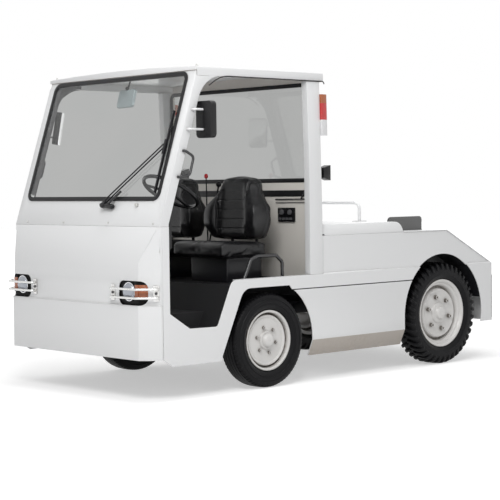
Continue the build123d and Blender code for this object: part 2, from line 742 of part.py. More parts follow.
# Rubber buffers on the tail, each side of the coupling
BUFFER_BOTTOM_Z = 286
BUFFER_TOP_Z = 590
BUFFER_THICK = 16
BUFFER_IN_X = 190
BUFFER_OUT_X = 722
with BuildPart() as tail_buffers:
    for side, name in SIDES:
        with Locations(
            (
                side * (BUFFER_IN_X + BUFFER_OUT_X) / 2,
                at(TAIL_STATION + BUFFER_THICK / 2),
                (BUFFER_BOTTOM_Z + BUFFER_TOP_Z) / 2,
            )
        ):
            Box(BUFFER_OUT_X - BUFFER_IN_X, BUFFER_THICK, BUFFER_TOP_Z - BUFFER_BOTTOM_Z)
save(tail_buffers, "tail_buffers")

# Tow coupling: two jaws on a bolted plate, with a drop-in pin
COUPLING_HALF = 100
COUPLING_BOTTOM_Z = 310
COUPLING_TOP_Z = 500
JAW_THICK = 18
JAW_LOW_Z = 352
JAW_HIGH_Z = 430
TOW_PIN_R = 16
TOW_PIN_BORE_R = TOW_PIN_R + RUN_FIT
TOW_PIN_STATION = TAIL_STATION + COUPLING_PLATE + JAW_REACH
TOW_PIN_TIP_Z = 322
TOW_PIN_HEAD_R = 24
TOW_PIN_HEAD = 14
TOW_PIN_RING_R = 26
TOW_PIN_RING_WIRE_R = 5
with BuildPart() as tow_coupling:
    with BuildSketch(Plane.XZ.offset(-at(TAIL_STATION))):
        with Locations((0, (COUPLING_BOTTOM_Z + COUPLING_TOP_Z) / 2)):
            RectangleRounded(2 * COUPLING_HALF, COUPLING_TOP_Z - COUPLING_BOTTOM_Z, 15)
    extrude(amount=-COUPLING_PLATE)
    for low in (JAW_LOW_Z, JAW_HIGH_Z):
        with BuildSketch(Plane.XY.offset(low)):
            with Locations((0, at(TOW_PIN_STATION))):
                Circle(JAW_R)
            with Locations((0, at(TOW_PIN_STATION - JAW_REACH / 2))):
                Rectangle(2 * JAW_R, JAW_REACH)
            with Locations((0, at(TOW_PIN_STATION))):
                Circle(TOW_PIN_BORE_R, mode=Mode.SUBTRACT)
        extrude(amount=JAW_THICK)
save(tow_coupling, "tow_coupling")

with BuildPart() as tow_pin:
    with BuildSketch(Plane.XY.offset(TOW_PIN_TIP_Z)):
        with Locations((0, at(TOW_PIN_STATION))):
            Circle(TOW_PIN_R)
    extrude(amount=JAW_HIGH_Z + JAW_THICK + SEAT_GAP - TOW_PIN_TIP_Z)
    chamfer(tow_pin.faces().sort_by(Axis.Z)[0].edges(), length=6)
    with BuildSketch(Plane.XY.offset(JAW_HIGH_Z + JAW_THICK + SEAT_GAP)):
        with Locations((0, at(TOW_PIN_STATION))):
            Circle(TOW_PIN_HEAD_R)
    extrude(amount=TOW_PIN_HEAD)
    ring_z = JAW_HIGH_Z + JAW_THICK + TOW_PIN_HEAD + TOW_PIN_RING_R
    with Locations(Location((0, at(TOW_PIN_STATION), ring_z), (0, 90, 0))):
        Torus(TOW_PIN_RING_R, TOW_PIN_RING_WIRE_R)
save(tow_pin, "tow_pin")

# Upright plates on the deck that keep luggage off its edges
STOP_X = 560
STOP_THICK = 8
STOP_FRONT = HOOD_END_STATION + 19
STOP_BACK = STOP_FRONT + 350
STOP_TOP_Z = 1020
STOP_FLANGE = 40
with BuildPart() as deck_stops:
    for side, name in SIDES:
        with BuildSketch(Plane.YZ.offset(side * STOP_X - STOP_THICK / 2)):
            with BuildLine():
                FilletPolyline(
                    (at(STOP_FRONT), DECK_Z),
                    (at(STOP_FRONT), STOP_TOP_Z),
                    (at(STOP_BACK), STOP_TOP_Z),
                    (at(STOP_BACK), DECK_Z),
                    radius=(0, 32, 26, 0),
                    close=True,
                )
            make_face()
        extrude(amount=STOP_THICK)
        with Locations((side * (STOP_X - STOP_FLANGE / 2), at((STOP_FRONT + STOP_BACK) / 2), DECK_Z + 3)):
            Box(STOP_FLANGE, STOP_BACK - STOP_FRONT, 6)
save(deck_stops, "deck_stops")

# Seats: steel boxes, padded cushions and backs
SEAT_X = 310
SEAT_HALF = 240
SEAT_BOX_X = 330
SEAT_BOX_HALF = 175
SEAT_BOX_FRONT = -155
SEAT_BOX_BACK = 145
SEAT_BOX_TOP_Z = 800
SEAT_BOX_R = 18
CUSHION_FRONT = -238
CUSHION_BACK = 150
CUSHION_TOP_Z = 893
BACK_FRONT = 66
BACK_LEAN = 32
BACK_DEPTH = 120
WING_REACH = 45
WING_TOP_Z = 1235
CHANNEL_HALF = 115
CHANNEL_MOUTH_HALF = 180
BACK_BOTTOM_Z = 905
BACK_TOP_Z = 1302
BACK_WAIST_Z = 1000
BACK_SHOULDER_Z = 1110
BACK_FOOT_HALF = 200
BACK_TOP_HALF = 150
BACK_POST_R = 10
BACK_POST_X = 115
with BuildPart() as seat_boxes:
    for side, name in SIDES:
        with BuildSketch(Plane.XY.offset(PLATFORM_Z)):
            with Locations((side * SEAT_BOX_X, at((SEAT_BOX_FRONT + SEAT_BOX_BACK) / 2))):
                RectangleRounded(2 * SEAT_BOX_HALF, SEAT_BOX_BACK - SEAT_BOX_FRONT, SEAT_BOX_R)
        extrude(amount=SEAT_BOX_TOP_Z - PLATFORM_Z)
        for post in (-BACK_POST_X, BACK_POST_X):
            with BuildLine():
                FilletPolyline(
                    (side * SEAT_X + post, at(SEAT_BOX_BACK - BACK_POST_R), SEAT_BOX_TOP_Z - 2 * BACK_POST_R),
                    (side * SEAT_X + post, at(CUSHION_BACK + 22), SEAT_BOX_TOP_Z - 2 * BACK_POST_R),
                    (side * SEAT_X + post, at(CUSHION_BACK + 22), BACK_BOTTOM_Z - SEAT_GAP),
                    radius=14,
                )
            with BuildSketch(Plane.XZ.offset(-at(SEAT_BOX_BACK - BACK_POST_R))):
                with Locations((side * SEAT_X + post, SEAT_BOX_TOP_Z - 2 * BACK_POST_R)):
                    Circle(BACK_POST_R)
            sweep()
save(seat_boxes, "seat_boxes")

with BuildPart() as seat_cushions:
    for side, name in SIDES:
        with BuildSketch(Plane.YZ.offset(side * SEAT_X - SEAT_HALF)):
            with BuildLine():
                FilletPolyline(
                    (at(CUSHION_FRONT), SEAT_BOX_TOP_Z + 12),
                    (at(CUSHION_FRONT), CUSHION_TOP_Z + 6),
                    (at(CUSHION_BACK), CUSHION_TOP_Z - 8),
                    (at(CUSHION_BACK), SEAT_BOX_TOP_Z + SEAT_GAP),
                    (at(SEAT_BOX_FRONT), SEAT_BOX_TOP_Z + SEAT_GAP),
                    radius=(0, 35, 20, 0, 0),
                    close=True,
                )
            make_face()
        extrude(amount=2 * SEAT_HALF)
save(seat_cushions, "seat_cushions")

with BuildPart() as seat_backs:
    for side, name in SIDES:
        with BuildSketch(Plane.XZ.offset(-at(0))):
            with BuildLine():
                middle = side * SEAT_X
                FilletPolyline(
                    (middle - BACK_FOOT_HALF, BACK_BOTTOM_Z),
                    (middle - SEAT_HALF, BACK_WAIST_Z),
                    (middle - SEAT_HALF, BACK_SHOULDER_Z),
                    (middle - BACK_TOP_HALF, BACK_TOP_Z),
                    (middle + BACK_TOP_HALF, BACK_TOP_Z),
                    (middle + SEAT_HALF, BACK_SHOULDER_Z),
                    (middle + SEAT_HALF, BACK_WAIST_Z),
                    (middle + BACK_FOOT_HALF, BACK_BOTTOM_Z),
                    radius=(30, 90, 110, 70, 70, 110, 90, 30),
                    close=True,
                )
            make_face()
        extrude(amount=-WALL_STATION)
    with BuildSketch(Plane.YZ.offset(-SIDE_X)):
        with BuildLine():
            Polyline(
                (at(BACK_FRONT), BACK_BOTTOM_Z),
                (at(BACK_FRONT - WING_REACH), BACK_WAIST_Z),
                (at(BACK_FRONT - WING_REACH + 8), BACK_SHOULDER_Z),
                (at(BACK_FRONT + BACK_LEAN - 10), WING_TOP_Z),
                (at(BACK_FRONT + BACK_LEAN), BACK_TOP_Z),
                (at(BACK_FRONT + BACK_LEAN + BACK_DEPTH), BACK_TOP_Z),
                (at(BACK_FRONT + BACK_DEPTH), BACK_BOTTOM_Z),
                close=True,
            )
        make_face()
    extrude(amount=2 * SIDE_X, mode=Mode.INTERSECT)
    back_slope = (0, BACK_LEAN, BACK_TOP_Z - BACK_BOTTOM_Z)
    for side, name in SIDES:
        with BuildSketch(Plane.XY.offset(BACK_BOTTOM_Z)):
            with BuildLine():
                Polyline(
                    (side * SEAT_X - CHANNEL_HALF, at(BACK_FRONT)),
                    (side * SEAT_X + CHANNEL_HALF, at(BACK_FRONT)),
                    (side * SEAT_X + CHANNEL_MOUTH_HALF, at(BACK_FRONT - 2 * WING_REACH)),
                    (side * SEAT_X - CHANNEL_MOUTH_HALF, at(BACK_FRONT - 2 * WING_REACH)),
                    close=True,
                )
            make_face()
        extrude(amount=hypot(*back_slope), dir=back_slope, mode=Mode.SUBTRACT)
save(seat_backs, "seat_backs")

# Engine and drive, closed in under the hood: one plain block
ENGINE_X = 250
ENGINE_FRONT = 560
ENGINE_BACK = WHEELBASE - 500
ENGINE_TOP_Z = 880
with BuildPart() as engine_block:
    with Locations(
        (0, at((ENGINE_FRONT + ENGINE_BACK) / 2), (CROSS_MEMBER_TOP_Z + ENGINE_TOP_Z) / 2)
    ):
        Box(2 * ENGINE_X, ENGINE_BACK - ENGINE_FRONT, ENGINE_TOP_Z - CROSS_MEMBER_TOP_Z)
save(engine_block, "engine_block")

# Dashboard across the cab
DASH_HALF = PILLAR_X - SEAT_GAP
DASH_SHEET = 5
DASH_TOP_Z = 1160
DASH_BACK_STATION = -735
dash_line = [
    (at(glass_station(DASH_TOP_Z) + FRAME_DEPTH + SEAT_GAP), DASH_TOP_Z),
    (at(DASH_BACK_STATION - 12), DASH_TOP_Z - 8),
    (at(DASH_BACK_STATION), DASH_TOP_Z - 40),
    (at(DASH_BACK_STATION), 885),
    (at(BULKHEAD_STATION + SEAT_GAP), 845),
]
dash_under = parallel(dash_line, DASH_SHEET)
with BuildPart() as dash_panel:
    with BuildSketch(Plane.YZ.offset(-DASH_HALF)):
        with BuildLine():
            FilletPolyline(*dash_line, radius=(0, 8, 10, 20, 0), close=True)
        make_face()
    extrude(amount=2 * DASH_HALF)
    with BuildSketch(Plane.YZ.offset(-DASH_HALF + DASH_SHEET)):
        with BuildLine():
            Polyline(
                (dash_under[0][0] - DASH_HALF, dash_under[0][1]),
                dash_under[0],
                dash_under[1],
                dash_under[2],
                dash_under[3],
                dash_under[4],
                (dash_under[4][0] - DASH_HALF, dash_under[4][1]),
                close=True,
            )
        make_face()
    extrude(amount=2 * (DASH_HALF - DASH_SHEET), mode=Mode.SUBTRACT)
save(dash_panel, "dash_panel")

# Steering column and wheel, on one leaning axis
STEER_X = 310
STEER_STATION = -438
STEER_Z = 1213
STEER_LEAN = 32.5
STEER_R = 178
STEER_RIM_R = 12
STEER_HUB_R = 34
STEER_HUB_L = 34
SPOKE_W = 26
SPOKE_THICK = 8
SHAFT_R = 9
SHAFT_REACH = 120
COLUMN_R = 24
COLUMN_TOP = 45
COLUMN_LENGTH = (STEER_STATION - BULKHEAD_STATION) / sin(radians(STEER_LEAN))
SPOKE_TURNS = (90, 210, 330)
steer_plane = Plane(
    origin=(STEER_X, at(STEER_STATION), STEER_Z),
    x_dir=(1, 0, 0),
    z_dir=(0, sin(radians(STEER_LEAN)), cos(radians(STEER_LEAN))),
)
with BuildPart() as steering_column:
    with BuildSketch(steer_plane.offset(-COLUMN_TOP)):
        Circle(COLUMN_R)
    extrude(amount=-(COLUMN_LENGTH - COLUMN_TOP + COLUMN_R))
    with BuildSketch(steer_plane.offset(-COLUMN_TOP)):
        Circle(SHAFT_R + RUN_FIT)
    extrude(amount=-SHAFT_REACH, mode=Mode.SUBTRACT)
    with Locations((STEER_X, at(BULKHEAD_STATION) + SEAT_GAP - DASH_HALF, STEER_Z - COLUMN_LENGTH)):
        Box(4 * COLUMN_R, 2 * DASH_HALF, 4 * COLUMN_LENGTH, mode=Mode.SUBTRACT)
save(steering_column, "steering_column")

with BuildPart() as steering_wheel:
    with Locations(steer_plane.location):
        Torus(STEER_R, STEER_RIM_R)
    with BuildSketch(steer_plane.offset(-STEER_HUB_L)):
        Circle(STEER_HUB_R)
    extrude(amount=STEER_HUB_L)
    with BuildSketch(steer_plane.offset(-SPOKE_THICK)):
        with Locations(*[Location((0, 0, 0), (0, 0, turn)) for turn in SPOKE_TURNS]):
            with Locations((STEER_R / 2, 0)):
                Rectangle(STEER_R, SPOKE_W)
    extrude(amount=SPOKE_THICK)
    with BuildSketch(steer_plane.offset(-STEER_HUB_L)):
        Circle(SHAFT_R)
    extrude(amount=-(COLUMN_TOP - STEER_HUB_L + SHAFT_REACH - 10))
save(steering_wheel, "steering_wheel")

# Hung pedals, levers between the seats and a switch box on the rear wall
PEDAL_R = 7
PEDAL_PAD_W = 70
PEDAL_PAD_H = 62
PEDAL_PAD = 10
LEVER_BOX_HALF = 34
LEVER_BOX_FRONT = 72
LEVER_BOX_BACK = 168
LEVER_BOX_TOP_Z = 700
LEVER_R = 6
# across, station and height of the knob, knob radius
LEVERS = ((-18, 248, 1256, 19), (16, 109, 1310, 22))
with BuildPart() as driver_controls:
    for across in (225, 380):
        with BuildLine():
            FilletPolyline(
                (across, at(BULKHEAD_STATION), 770),
                (across, at(-720), 770),
                (across, at(-655), 640),
                (across, at(-616), 601),
                radius=22,
            )
        with BuildSketch(Plane.XZ.offset(-at(BULKHEAD_STATION))):
            with Locations((across, 770)):
                Circle(PEDAL_R)
        sweep()
        with Locations(Location((across, at(-618), 604), (-38, 0, 0))):
            Box(PEDAL_PAD_W, PEDAL_PAD, PEDAL_PAD_H)
    with BuildSketch(Plane.XY.offset(PLATFORM_Z)):
        with Locations((0, at((LEVER_BOX_FRONT + LEVER_BOX_BACK) / 2))):
            RectangleRounded(2 * LEVER_BOX_HALF, LEVER_BOX_BACK - LEVER_BOX_FRONT, 10)
    extrude(amount=LEVER_BOX_TOP_Z - PLATFORM_Z)
    for across, station, height, knob in LEVERS:
        foot = Vector(across, at((LEVER_BOX_FRONT + LEVER_BOX_BACK) / 2), LEVER_BOX_TOP_Z - LEVER_R)
        head = Vector(across, at(station), height)
        with BuildSketch(Plane(origin=foot, z_dir=head - foot)):
            Circle(LEVER_R)
        extrude(amount=(head - foot).length)
        with Locations(head):
            Sphere(knob)
    with Locations((472, at(WALL_STATION - 7), 1055)):
        Box(150, 14, 90)
save(driver_controls, "driver_controls")

# Hip rails by the seats and grab handles on the windshield pillars
HIP_RAIL_X = 640
HIP_RAIL_R = 11
GRAB_X = 746
GRAB_R = 8
# station, height
HIP_RAIL = ((-150, PLATFORM_Z), (-82, 791), (-25, 811), (134, 809), (186, 767), (186, PLATFORM_Z))
# across, station, height
GRAB = (
    (SIDE_X, -690, 1452),
    (GRAB_X, -686, 1452),
    (GRAB_X, -622, 1418),
    (GRAB_X, -654, 1313),
    (GRAB_X, -728, 1300),
    (SIDE_X, -734, 1300),
)
with BuildPart() as hand_rails:
    for side, name in SIDES:
        with BuildLine():
            FilletPolyline(*[(side * HIP_RAIL_X, at(v), z) for v, z in HIP_RAIL], radius=30)
        with BuildSketch(Plane(origin=(side * HIP_RAIL_X, at(-150), PLATFORM_Z), z_dir=(0, 68, 143))):
            Circle(HIP_RAIL_R)
        sweep()
        with BuildLine():
            FilletPolyline(
                *[(side * x, at(v), z) for x, v, z in GRAB],
                radius=(12, 24, 24, 12),
            )
        with BuildSketch(Plane(origin=(side * SIDE_X, at(-690), 1452), z_dir=(side * 16, 4, 0))):
            Circle(GRAB_R)
        sweep()
    with Locations((0, at(0), PLATFORM_Z / 2)):
        Box(2 * SIDE_X, 800, PLATFORM_Z, mode=Mode.SUBTRACT)
    with Locations((0, at(-700), 1376)):
        Box(2 * SIDE_X, 400, 400, mode=Mode.SUBTRACT)
save(hand_rails, "hand_rails")

# Door mirrors on brackets, and the mirror that hangs from the header
MIRROR_X = 760
MIRROR_Z = 1635
MIRROR_W = 140
MIRROR_DEPTH = 40
MIRROR_H = 216
MIRROR_R = 26
MIRROR_ARM_R = 7
MIRROR_ARM_RISE = 58
# side, station, turn towards the driver, downward tilt
DOOR_MIRRORS = ((1, -534, 0, 0), (-1, -502, 43, 9))
CAB_MIRROR_X = 30
CAB_MIRROR_STATION = -545
CAB_MIRROR_Z = 1790
CAB_MIRROR_STEM_R = 6
CAB_MIRROR_TURN = 10
CAB_MIRROR_TILT = 14
header_back = glass_station(1915) + FRAME_DEPTH


def mirror_plane(place, side, turn, tilt):
    """Plane of a mirror's glass, turned towards the driver and tilted down."""
    across = (cos(radians(turn)), side * sin(radians(turn)), 0)
    back = (-side * sin(radians(turn)) * cos(radians(tilt)), cos(radians(turn)) * cos(radians(tilt)))
    return Plane(origin=place, x_dir=across, z_dir=(*back, -sin(radians(tilt))))


with BuildPart() as mirrors:
    for side, station, turn, tilt in DOOR_MIRRORS:
        with BuildSketch(mirror_plane((side * MIRROR_X, at(station), MIRROR_Z), side, turn, tilt)):
            RectangleRounded(MIRROR_W, MIRROR_H, MIRROR_R)
        extrude(amount=MIRROR_DEPTH / 2, both=True)
        for height in (MIRROR_Z - MIRROR_ARM_RISE, MIRROR_Z + MIRROR_ARM_RISE):
            foot = glass_station(height) + 32
            with BuildLine():
                FilletPolyline(
                    (side * SIDE_X, at(foot), height),
                    (side * (SIDE_X + 26), at(foot), height),
                    (side * (SIDE_X + 26), at(station), height),
                    radius=14,
                )
            with BuildSketch(Plane.YZ.offset(side * SIDE_X)):
                with Locations((at(foot), height)):
                    Circle(MIRROR_ARM_R)
            sweep()
    cab_mirror_place = (CAB_MIRROR_X, at(CAB_MIRROR_STATION), CAB_MIRROR_Z)
    with BuildSketch(mirror_plane(cab_mirror_place, -1, CAB_MIRROR_TURN, CAB_MIRROR_TILT)):
        RectangleRounded(200, 115, 20)
    extrude(amount=9, both=True)
    with BuildLine():
        FilletPolyline(
            (CAB_MIRROR_X, at(header_back + 1 + SEAT_GAP), 1912),
            (CAB_MIRROR_X, at(header_back + 18), 1900),
            (CAB_MIRROR_X, at(CAB_MIRROR_STATION + 16), 1862),
            (CAB_MIRROR_X, at(CAB_MIRROR_STATION), CAB_MIRROR_Z + 50),
            radius=8,
        )
    with BuildSketch(Plane.XZ.offset(-at(header_back + 1 + SEAT_GAP))):
        with Locations((CAB_MIRROR_X, 1912)):
            Circle(CAB_MIRROR_STEM_R)
    sweep()
    with Locations((CAB_MIRROR_X, at(CAB_MIRROR_STATION + 6), CAB_MIRROR_Z + 64)):
        Sphere(12)
save(mirrors, "mirrors")

# Windshield wiper with twin rods, in the plane of the glass
WIPER_PIVOT = (184, -14)
WIPER_TIP = (614, 326)
BLADE_X = 626
BLADE_LOW = 48
BLADE_HIGH = 550
with BuildPart() as wiper:
    with BuildSketch(glass_plane):
        with Locations(WIPER_PIVOT):
            Circle(13)
    extrude(amount=30)
    run = (WIPER_TIP[0] - WIPER_PIVOT[0], WIPER_TIP[1] - WIPER_PIVOT[1])
    reach = hypot(*run)
    normal = (-run[1] / reach, run[0] / reach)
    for shift in (-11, 11):
        start = (WIPER_PIVOT[0] + shift * normal[0], WIPER_PIVOT[1] + shift * normal[1])
        end = (WIPER_TIP[0] + shift * normal[0] + 8, WIPER_TIP[1] + shift * normal[1] + 6)
        with BuildSketch(glass_plane.offset(19)):
            with BuildLine():
                Polyline(
                    (start[0] - 3 * normal[0], start[1] - 3 * normal[1]),
                    (end[0] - 3 * normal[0], end[1] - 3 * normal[1]),
                    (end[0] + 3 * normal[0], end[1] + 3 * normal[1]),
                    (start[0] + 3 * normal[0], start[1] + 3 * normal[1]),
                    close=True,
                )
            make_face()
        extrude(amount=7)
    with BuildSketch(glass_plane.offset(8)):
        with Locations((BLADE_X, (BLADE_LOW + BLADE_HIGH) / 2)):
            Rectangle(11, BLADE_HIGH - BLADE_LOW)
    extrude(amount=10)
    with BuildSketch(glass_plane.offset(8)):
        with Locations((BLADE_X, WIPER_TIP[1])):
            Rectangle(14, 90)
    extrude(amount=18)
    with BuildSketch(glass_plane.offset(0.5)):
        with Locations((BLADE_X, (BLADE_LOW + BLADE_HIGH) / 2)):
            Rectangle(4, BLADE_HIGH - BLADE_LOW)
    extrude(amount=8)
save(wiper, "wiper")

# Lamps behind the nose openings: a dark pocket with a round lamp and a corner lens
LAMP_X = 541
LAMP_Z = 640
LAMP_R = 52
POCKET_FACE = -949
with BuildPart() as headlamps:
    for side, name in SIDES:
        with BuildSketch(Plane.XY.offset(BUMPER_TOP_Z + SEAT_GAP)):
            with BuildLine():
                Polyline(
                    (side * (LAMP_IN_X - 6), at(POCKET_FACE)),
                    (side * 629, at(POCKET_FACE)),
                    (side * 690, at(-896)),
                    (side * 690, at(-870)),
                    (side * (LAMP_IN_X - 6), at(-870)),
                    close=True,
                )
            make_face()
        extrude(amount=LAMP_TOP_Z - LAMP_BOTTOM_Z + 3)
        with BuildSketch(Plane.XZ.offset(-at(POCKET_FACE))):
            with Locations((side * LAMP_X, LAMP_Z)):
                Circle(LAMP_R + 5)
        extrude(amount=7)
        with BuildSketch(Plane.XZ.offset(-at(POCKET_FACE))):
            with Locations((side * LAMP_X, LAMP_Z)):
                Circle(LAMP_R)
        extrude(amount=16, taper=24)
        with BuildSketch(Plane.XZ.offset(-at(POCKET_FACE))):
            with Locations((side * 612, 645)):
                Rectangle(34, 108)
        extrude(amount=8)
        with BuildSketch(Plane.XY.offset(591)):
            with BuildLine():
                Polyline(
                    (side * 629, at(POCKET_FACE)),
                    (side * 633, at(POCKET_FACE - 8)),
                    (side * 663, at(-927.5)),
                    (side * 657, at(-924.6)),
                    close=True,
                )
            make_face()
        extrude(amount=94)
save(headlamps, "headlamps")

# Two guard bars in front of each lamp, on bolted end plates
GUARD_ROWS = (607, 657)
GUARD_PLATE = 4
GUARD_PLATE_W = 34
GUARD_PLATE_H = 92
GUARD_PLATE_Z = 632
GUARD_IN_X = 398
GUARD_STATION = -BUMPER_REACH - GUARD_STANDOFF
FACE_STATION = -957.9
facet_run = (96.0, 87.0)
facet_length = hypot(*facet_run)
facet_dir = (facet_run[0] / facet_length, facet_run[1] / facet_length)
facet_out = (facet_dir[1], -facet_dir[0])
guard_gap = FACE_STATION - GUARD_STATION
guard_turn = tan(radians(21.1)) * guard_gap
FACET_FOOT = 112
foot_point = (634 + FACET_FOOT * facet_dir[0], FACE_STATION + FACET_FOOT * facet_dir[1])
with BuildPart() as lamp_guards:
    for side, name in SIDES:
        for height in GUARD_ROWS:
            with BuildLine():
                FilletPolyline(
                    (side * GUARD_IN_X, at(FACE_STATION - GUARD_PLATE), height),
                    (side * GUARD_IN_X, at(GUARD_STATION), height),
                    (side * (634 + guard_turn), at(GUARD_STATION), height),
                    (
                        side * (foot_point[0] + guard_gap * facet_out[0]),
                        at(foot_point[1] + guard_gap * facet_out[1]),
                        height,
                    ),
                    (
                        side * (foot_point[0] + 3 * facet_out[0]),
                        at(foot_point[1] + 3 * facet_out[1]),
                        height,
                    ),
                    radius=(14, 24, 14),
                )
            with BuildSketch(Plane.XZ.offset(-at(FACE_STATION - GUARD_PLATE))):
                with Locations((side * GUARD_IN_X, height)):
                    Circle(GUARD_R)
            sweep()
        with Locations((side * GUARD_IN_X, at(FACE_STATION - GUARD_PLATE / 2 - 0.1), GUARD_PLATE_Z)):
            Box(GUARD_PLATE_W, GUARD_PLATE, GUARD_PLATE_H)
        with BuildSketch(Plane.XY.offset(GUARD_PLATE_Z - GUARD_PLATE_H / 2)):
            with BuildLine():
                near = (FACET_FOOT - GUARD_PLATE_W + 8, FACET_FOOT + 8)
                low = 0.3
                high = 0.3 + GUARD_PLATE
                corners = ((near[0], low), (near[1], low), (near[1], high), (near[0], high))
                Polyline(
                    *[
                        (
                            side * (634 + along * facet_dir[0] + off * facet_out[0]),
                            at(FACE_STATION + along * facet_dir[1] + off * facet_out[1]),
                        )
                        for along, off in corners
                    ],
                    close=True,
                )
            make_face()
        extrude(amount=GUARD_PLATE_H)
save(lamp_guards, "lamp_guards")

# Lamps on the backs of the rear pillars: a tall tail lamp and a work lamp
TAIL_LAMP_LOW_Z = 1555
TAIL_LAMP_HIGH_Z = 1815
TAIL_LAMP_BACK = 496
TAIL_LAMP_IN_X = 690
TAIL_LAMP_OUT_X = 745
WORK_LAMP_X = 692
pillar_slope = PILLAR_LEAN / (ROOF_DRIP_Z - PILLAR_FOOT_Z)


def pillar_back(height):
    """Station of the rear pillar's back face at a height above its foot."""
    return PILLAR_BACK_STATION - (height - PILLAR_FOOT_Z) * pillar_slope


with BuildPart() as tail_lamps:
    for side, name in SIDES:
        with BuildSketch(Plane.YZ.offset(side * TAIL_LAMP_IN_X)):
            with BuildLine():
                Polyline(
                    (at(pillar_back(TAIL_LAMP_LOW_Z) + SEAT_GAP), TAIL_LAMP_LOW_Z),
                    (at(TAIL_LAMP_BACK), TAIL_LAMP_LOW_Z),
                    (at(TAIL_LAMP_BACK - 6), TAIL_LAMP_HIGH_Z),
                    (at(pillar_back(TAIL_LAMP_HIGH_Z) + SEAT_GAP), TAIL_LAMP_HIGH_Z),
                    close=True,
                )
            make_face()
        extrude(amount=side * (TAIL_LAMP_OUT_X - TAIL_LAMP_IN_X))
        with BuildSketch(Plane.YZ.offset(side * WORK_LAMP_X - 29)):
            with BuildLine():
                Polyline(
                    (at(486), 1290),
                    (at(486), 1352),
                    (at(547), 1370),
                    (at(547), 1272),
                    close=True,
                )
            make_face()
        extrude(amount=58)
        with Locations((side * WORK_LAMP_X, at(468), 1321)):
            Box(24, 60, 24)
    with Locations((0, at(pillar_back(1321) - 50 + SEAT_GAP), 1321)):
        Box(2 * SIDE_X, 100, 60, mode=Mode.SUBTRACT)
save(tail_lamps, "tail_lamps")

# Front axle: a beam on two leaf packs under the rails
KINGPIN_X = 545
KINGPIN_R = 14
BEAM_HALF_D = 30
BEAM_LOW_Z = 257
BEAM_TOP_Z = 327
BOSS_R = 28
BOSS_LOW_Z = 247
BOSS_TOP_Z = 337
SPRING_X = 320
SPRING_W = 60
SPRING_HANGER = 24
# half length, bottom height, top height
LEAVES = ((300, 346, 357), (215, 337, 346), (130, BEAM_TOP_Z, 337))
with BuildPart() as front_axle:
    with Locations((0, at(0), (BEAM_LOW_Z + BEAM_TOP_Z) / 2)):
        Box(2 * KINGPIN_X, 2 * BEAM_HALF_D, BEAM_TOP_Z - BEAM_LOW_Z)
    for side, name in SIDES:
        with BuildSketch(Plane.XY.offset(BOSS_LOW_Z)):
            with Locations((side * KINGPIN_X, at(0))):
                Circle(BOSS_R)
        extrude(amount=BOSS_TOP_Z - BOSS_LOW_Z)
        with BuildSketch(Plane.XY.offset(BOSS_LOW_Z)):
            with Locations((side * KINGPIN_X, at(0))):
                Circle(KINGPIN_R + RUN_FIT)
        extrude(amount=BOSS_TOP_Z - BOSS_LOW_Z, mode=Mode.SUBTRACT)
        for half, low, high in LEAVES:
            with Locations((side * SPRING_X, at(0), (low + high) / 2)):
                Box(SPRING_W, 2 * half, high - low)
        for end in (-1, 1):
            with Locations(
                (side * SPRING_X, at(end * (300 - SPRING_HANGER / 2)), (357 + RAIL_BOTTOM_Z) / 2)
            ):
                Box(SPRING_W - 16, SPRING_HANGER, RAIL_BOTTOM_Z - 357)
save(front_axle, "front_axle")

# Rear drive axle, held under the rails by saddles
AXLE_TUBE_R = 40
REAR_SPINDLE_R = 30
REAR_WHEEL_X = 640
REAR_SPINDLE_END = 662
REAR_SHOULDER_X = 560
DIFF_R = 105
with BuildPart() as rear_axle:
    with BuildSketch(Plane.YZ.offset(-REAR_SHOULDER_X)):
        with Locations((at(WHEELBASE), REAR_TYRE_R)):
            Circle(AXLE_TUBE_R)
    extrude(amount=2 * REAR_SHOULDER_X)
    with BuildSketch(Plane.YZ.offset(-REAR_SPINDLE_END)):
        with Locations((at(WHEELBASE), REAR_TYRE_R)):
            Circle(REAR_SPINDLE_R)
    extrude(amount=2 * REAR_SPINDLE_END)
    with BuildSketch(Plane.YZ.offset(-70)):
        with Locations((at(WHEELBASE), REAR_TYRE_R)):
            Circle(DIFF_R)
    extrude(amount=140)
    for side, name in SIDES:
        with Locations((side * SPRING_X, at(WHEELBASE), (REAR_TYRE_R + RAIL_BOTTOM_Z) / 2)):
            Box(SPRING_W, 110, RAIL_BOTTOM_Z - REAR_TYRE_R)
save(rear_axle, "rear_axle")

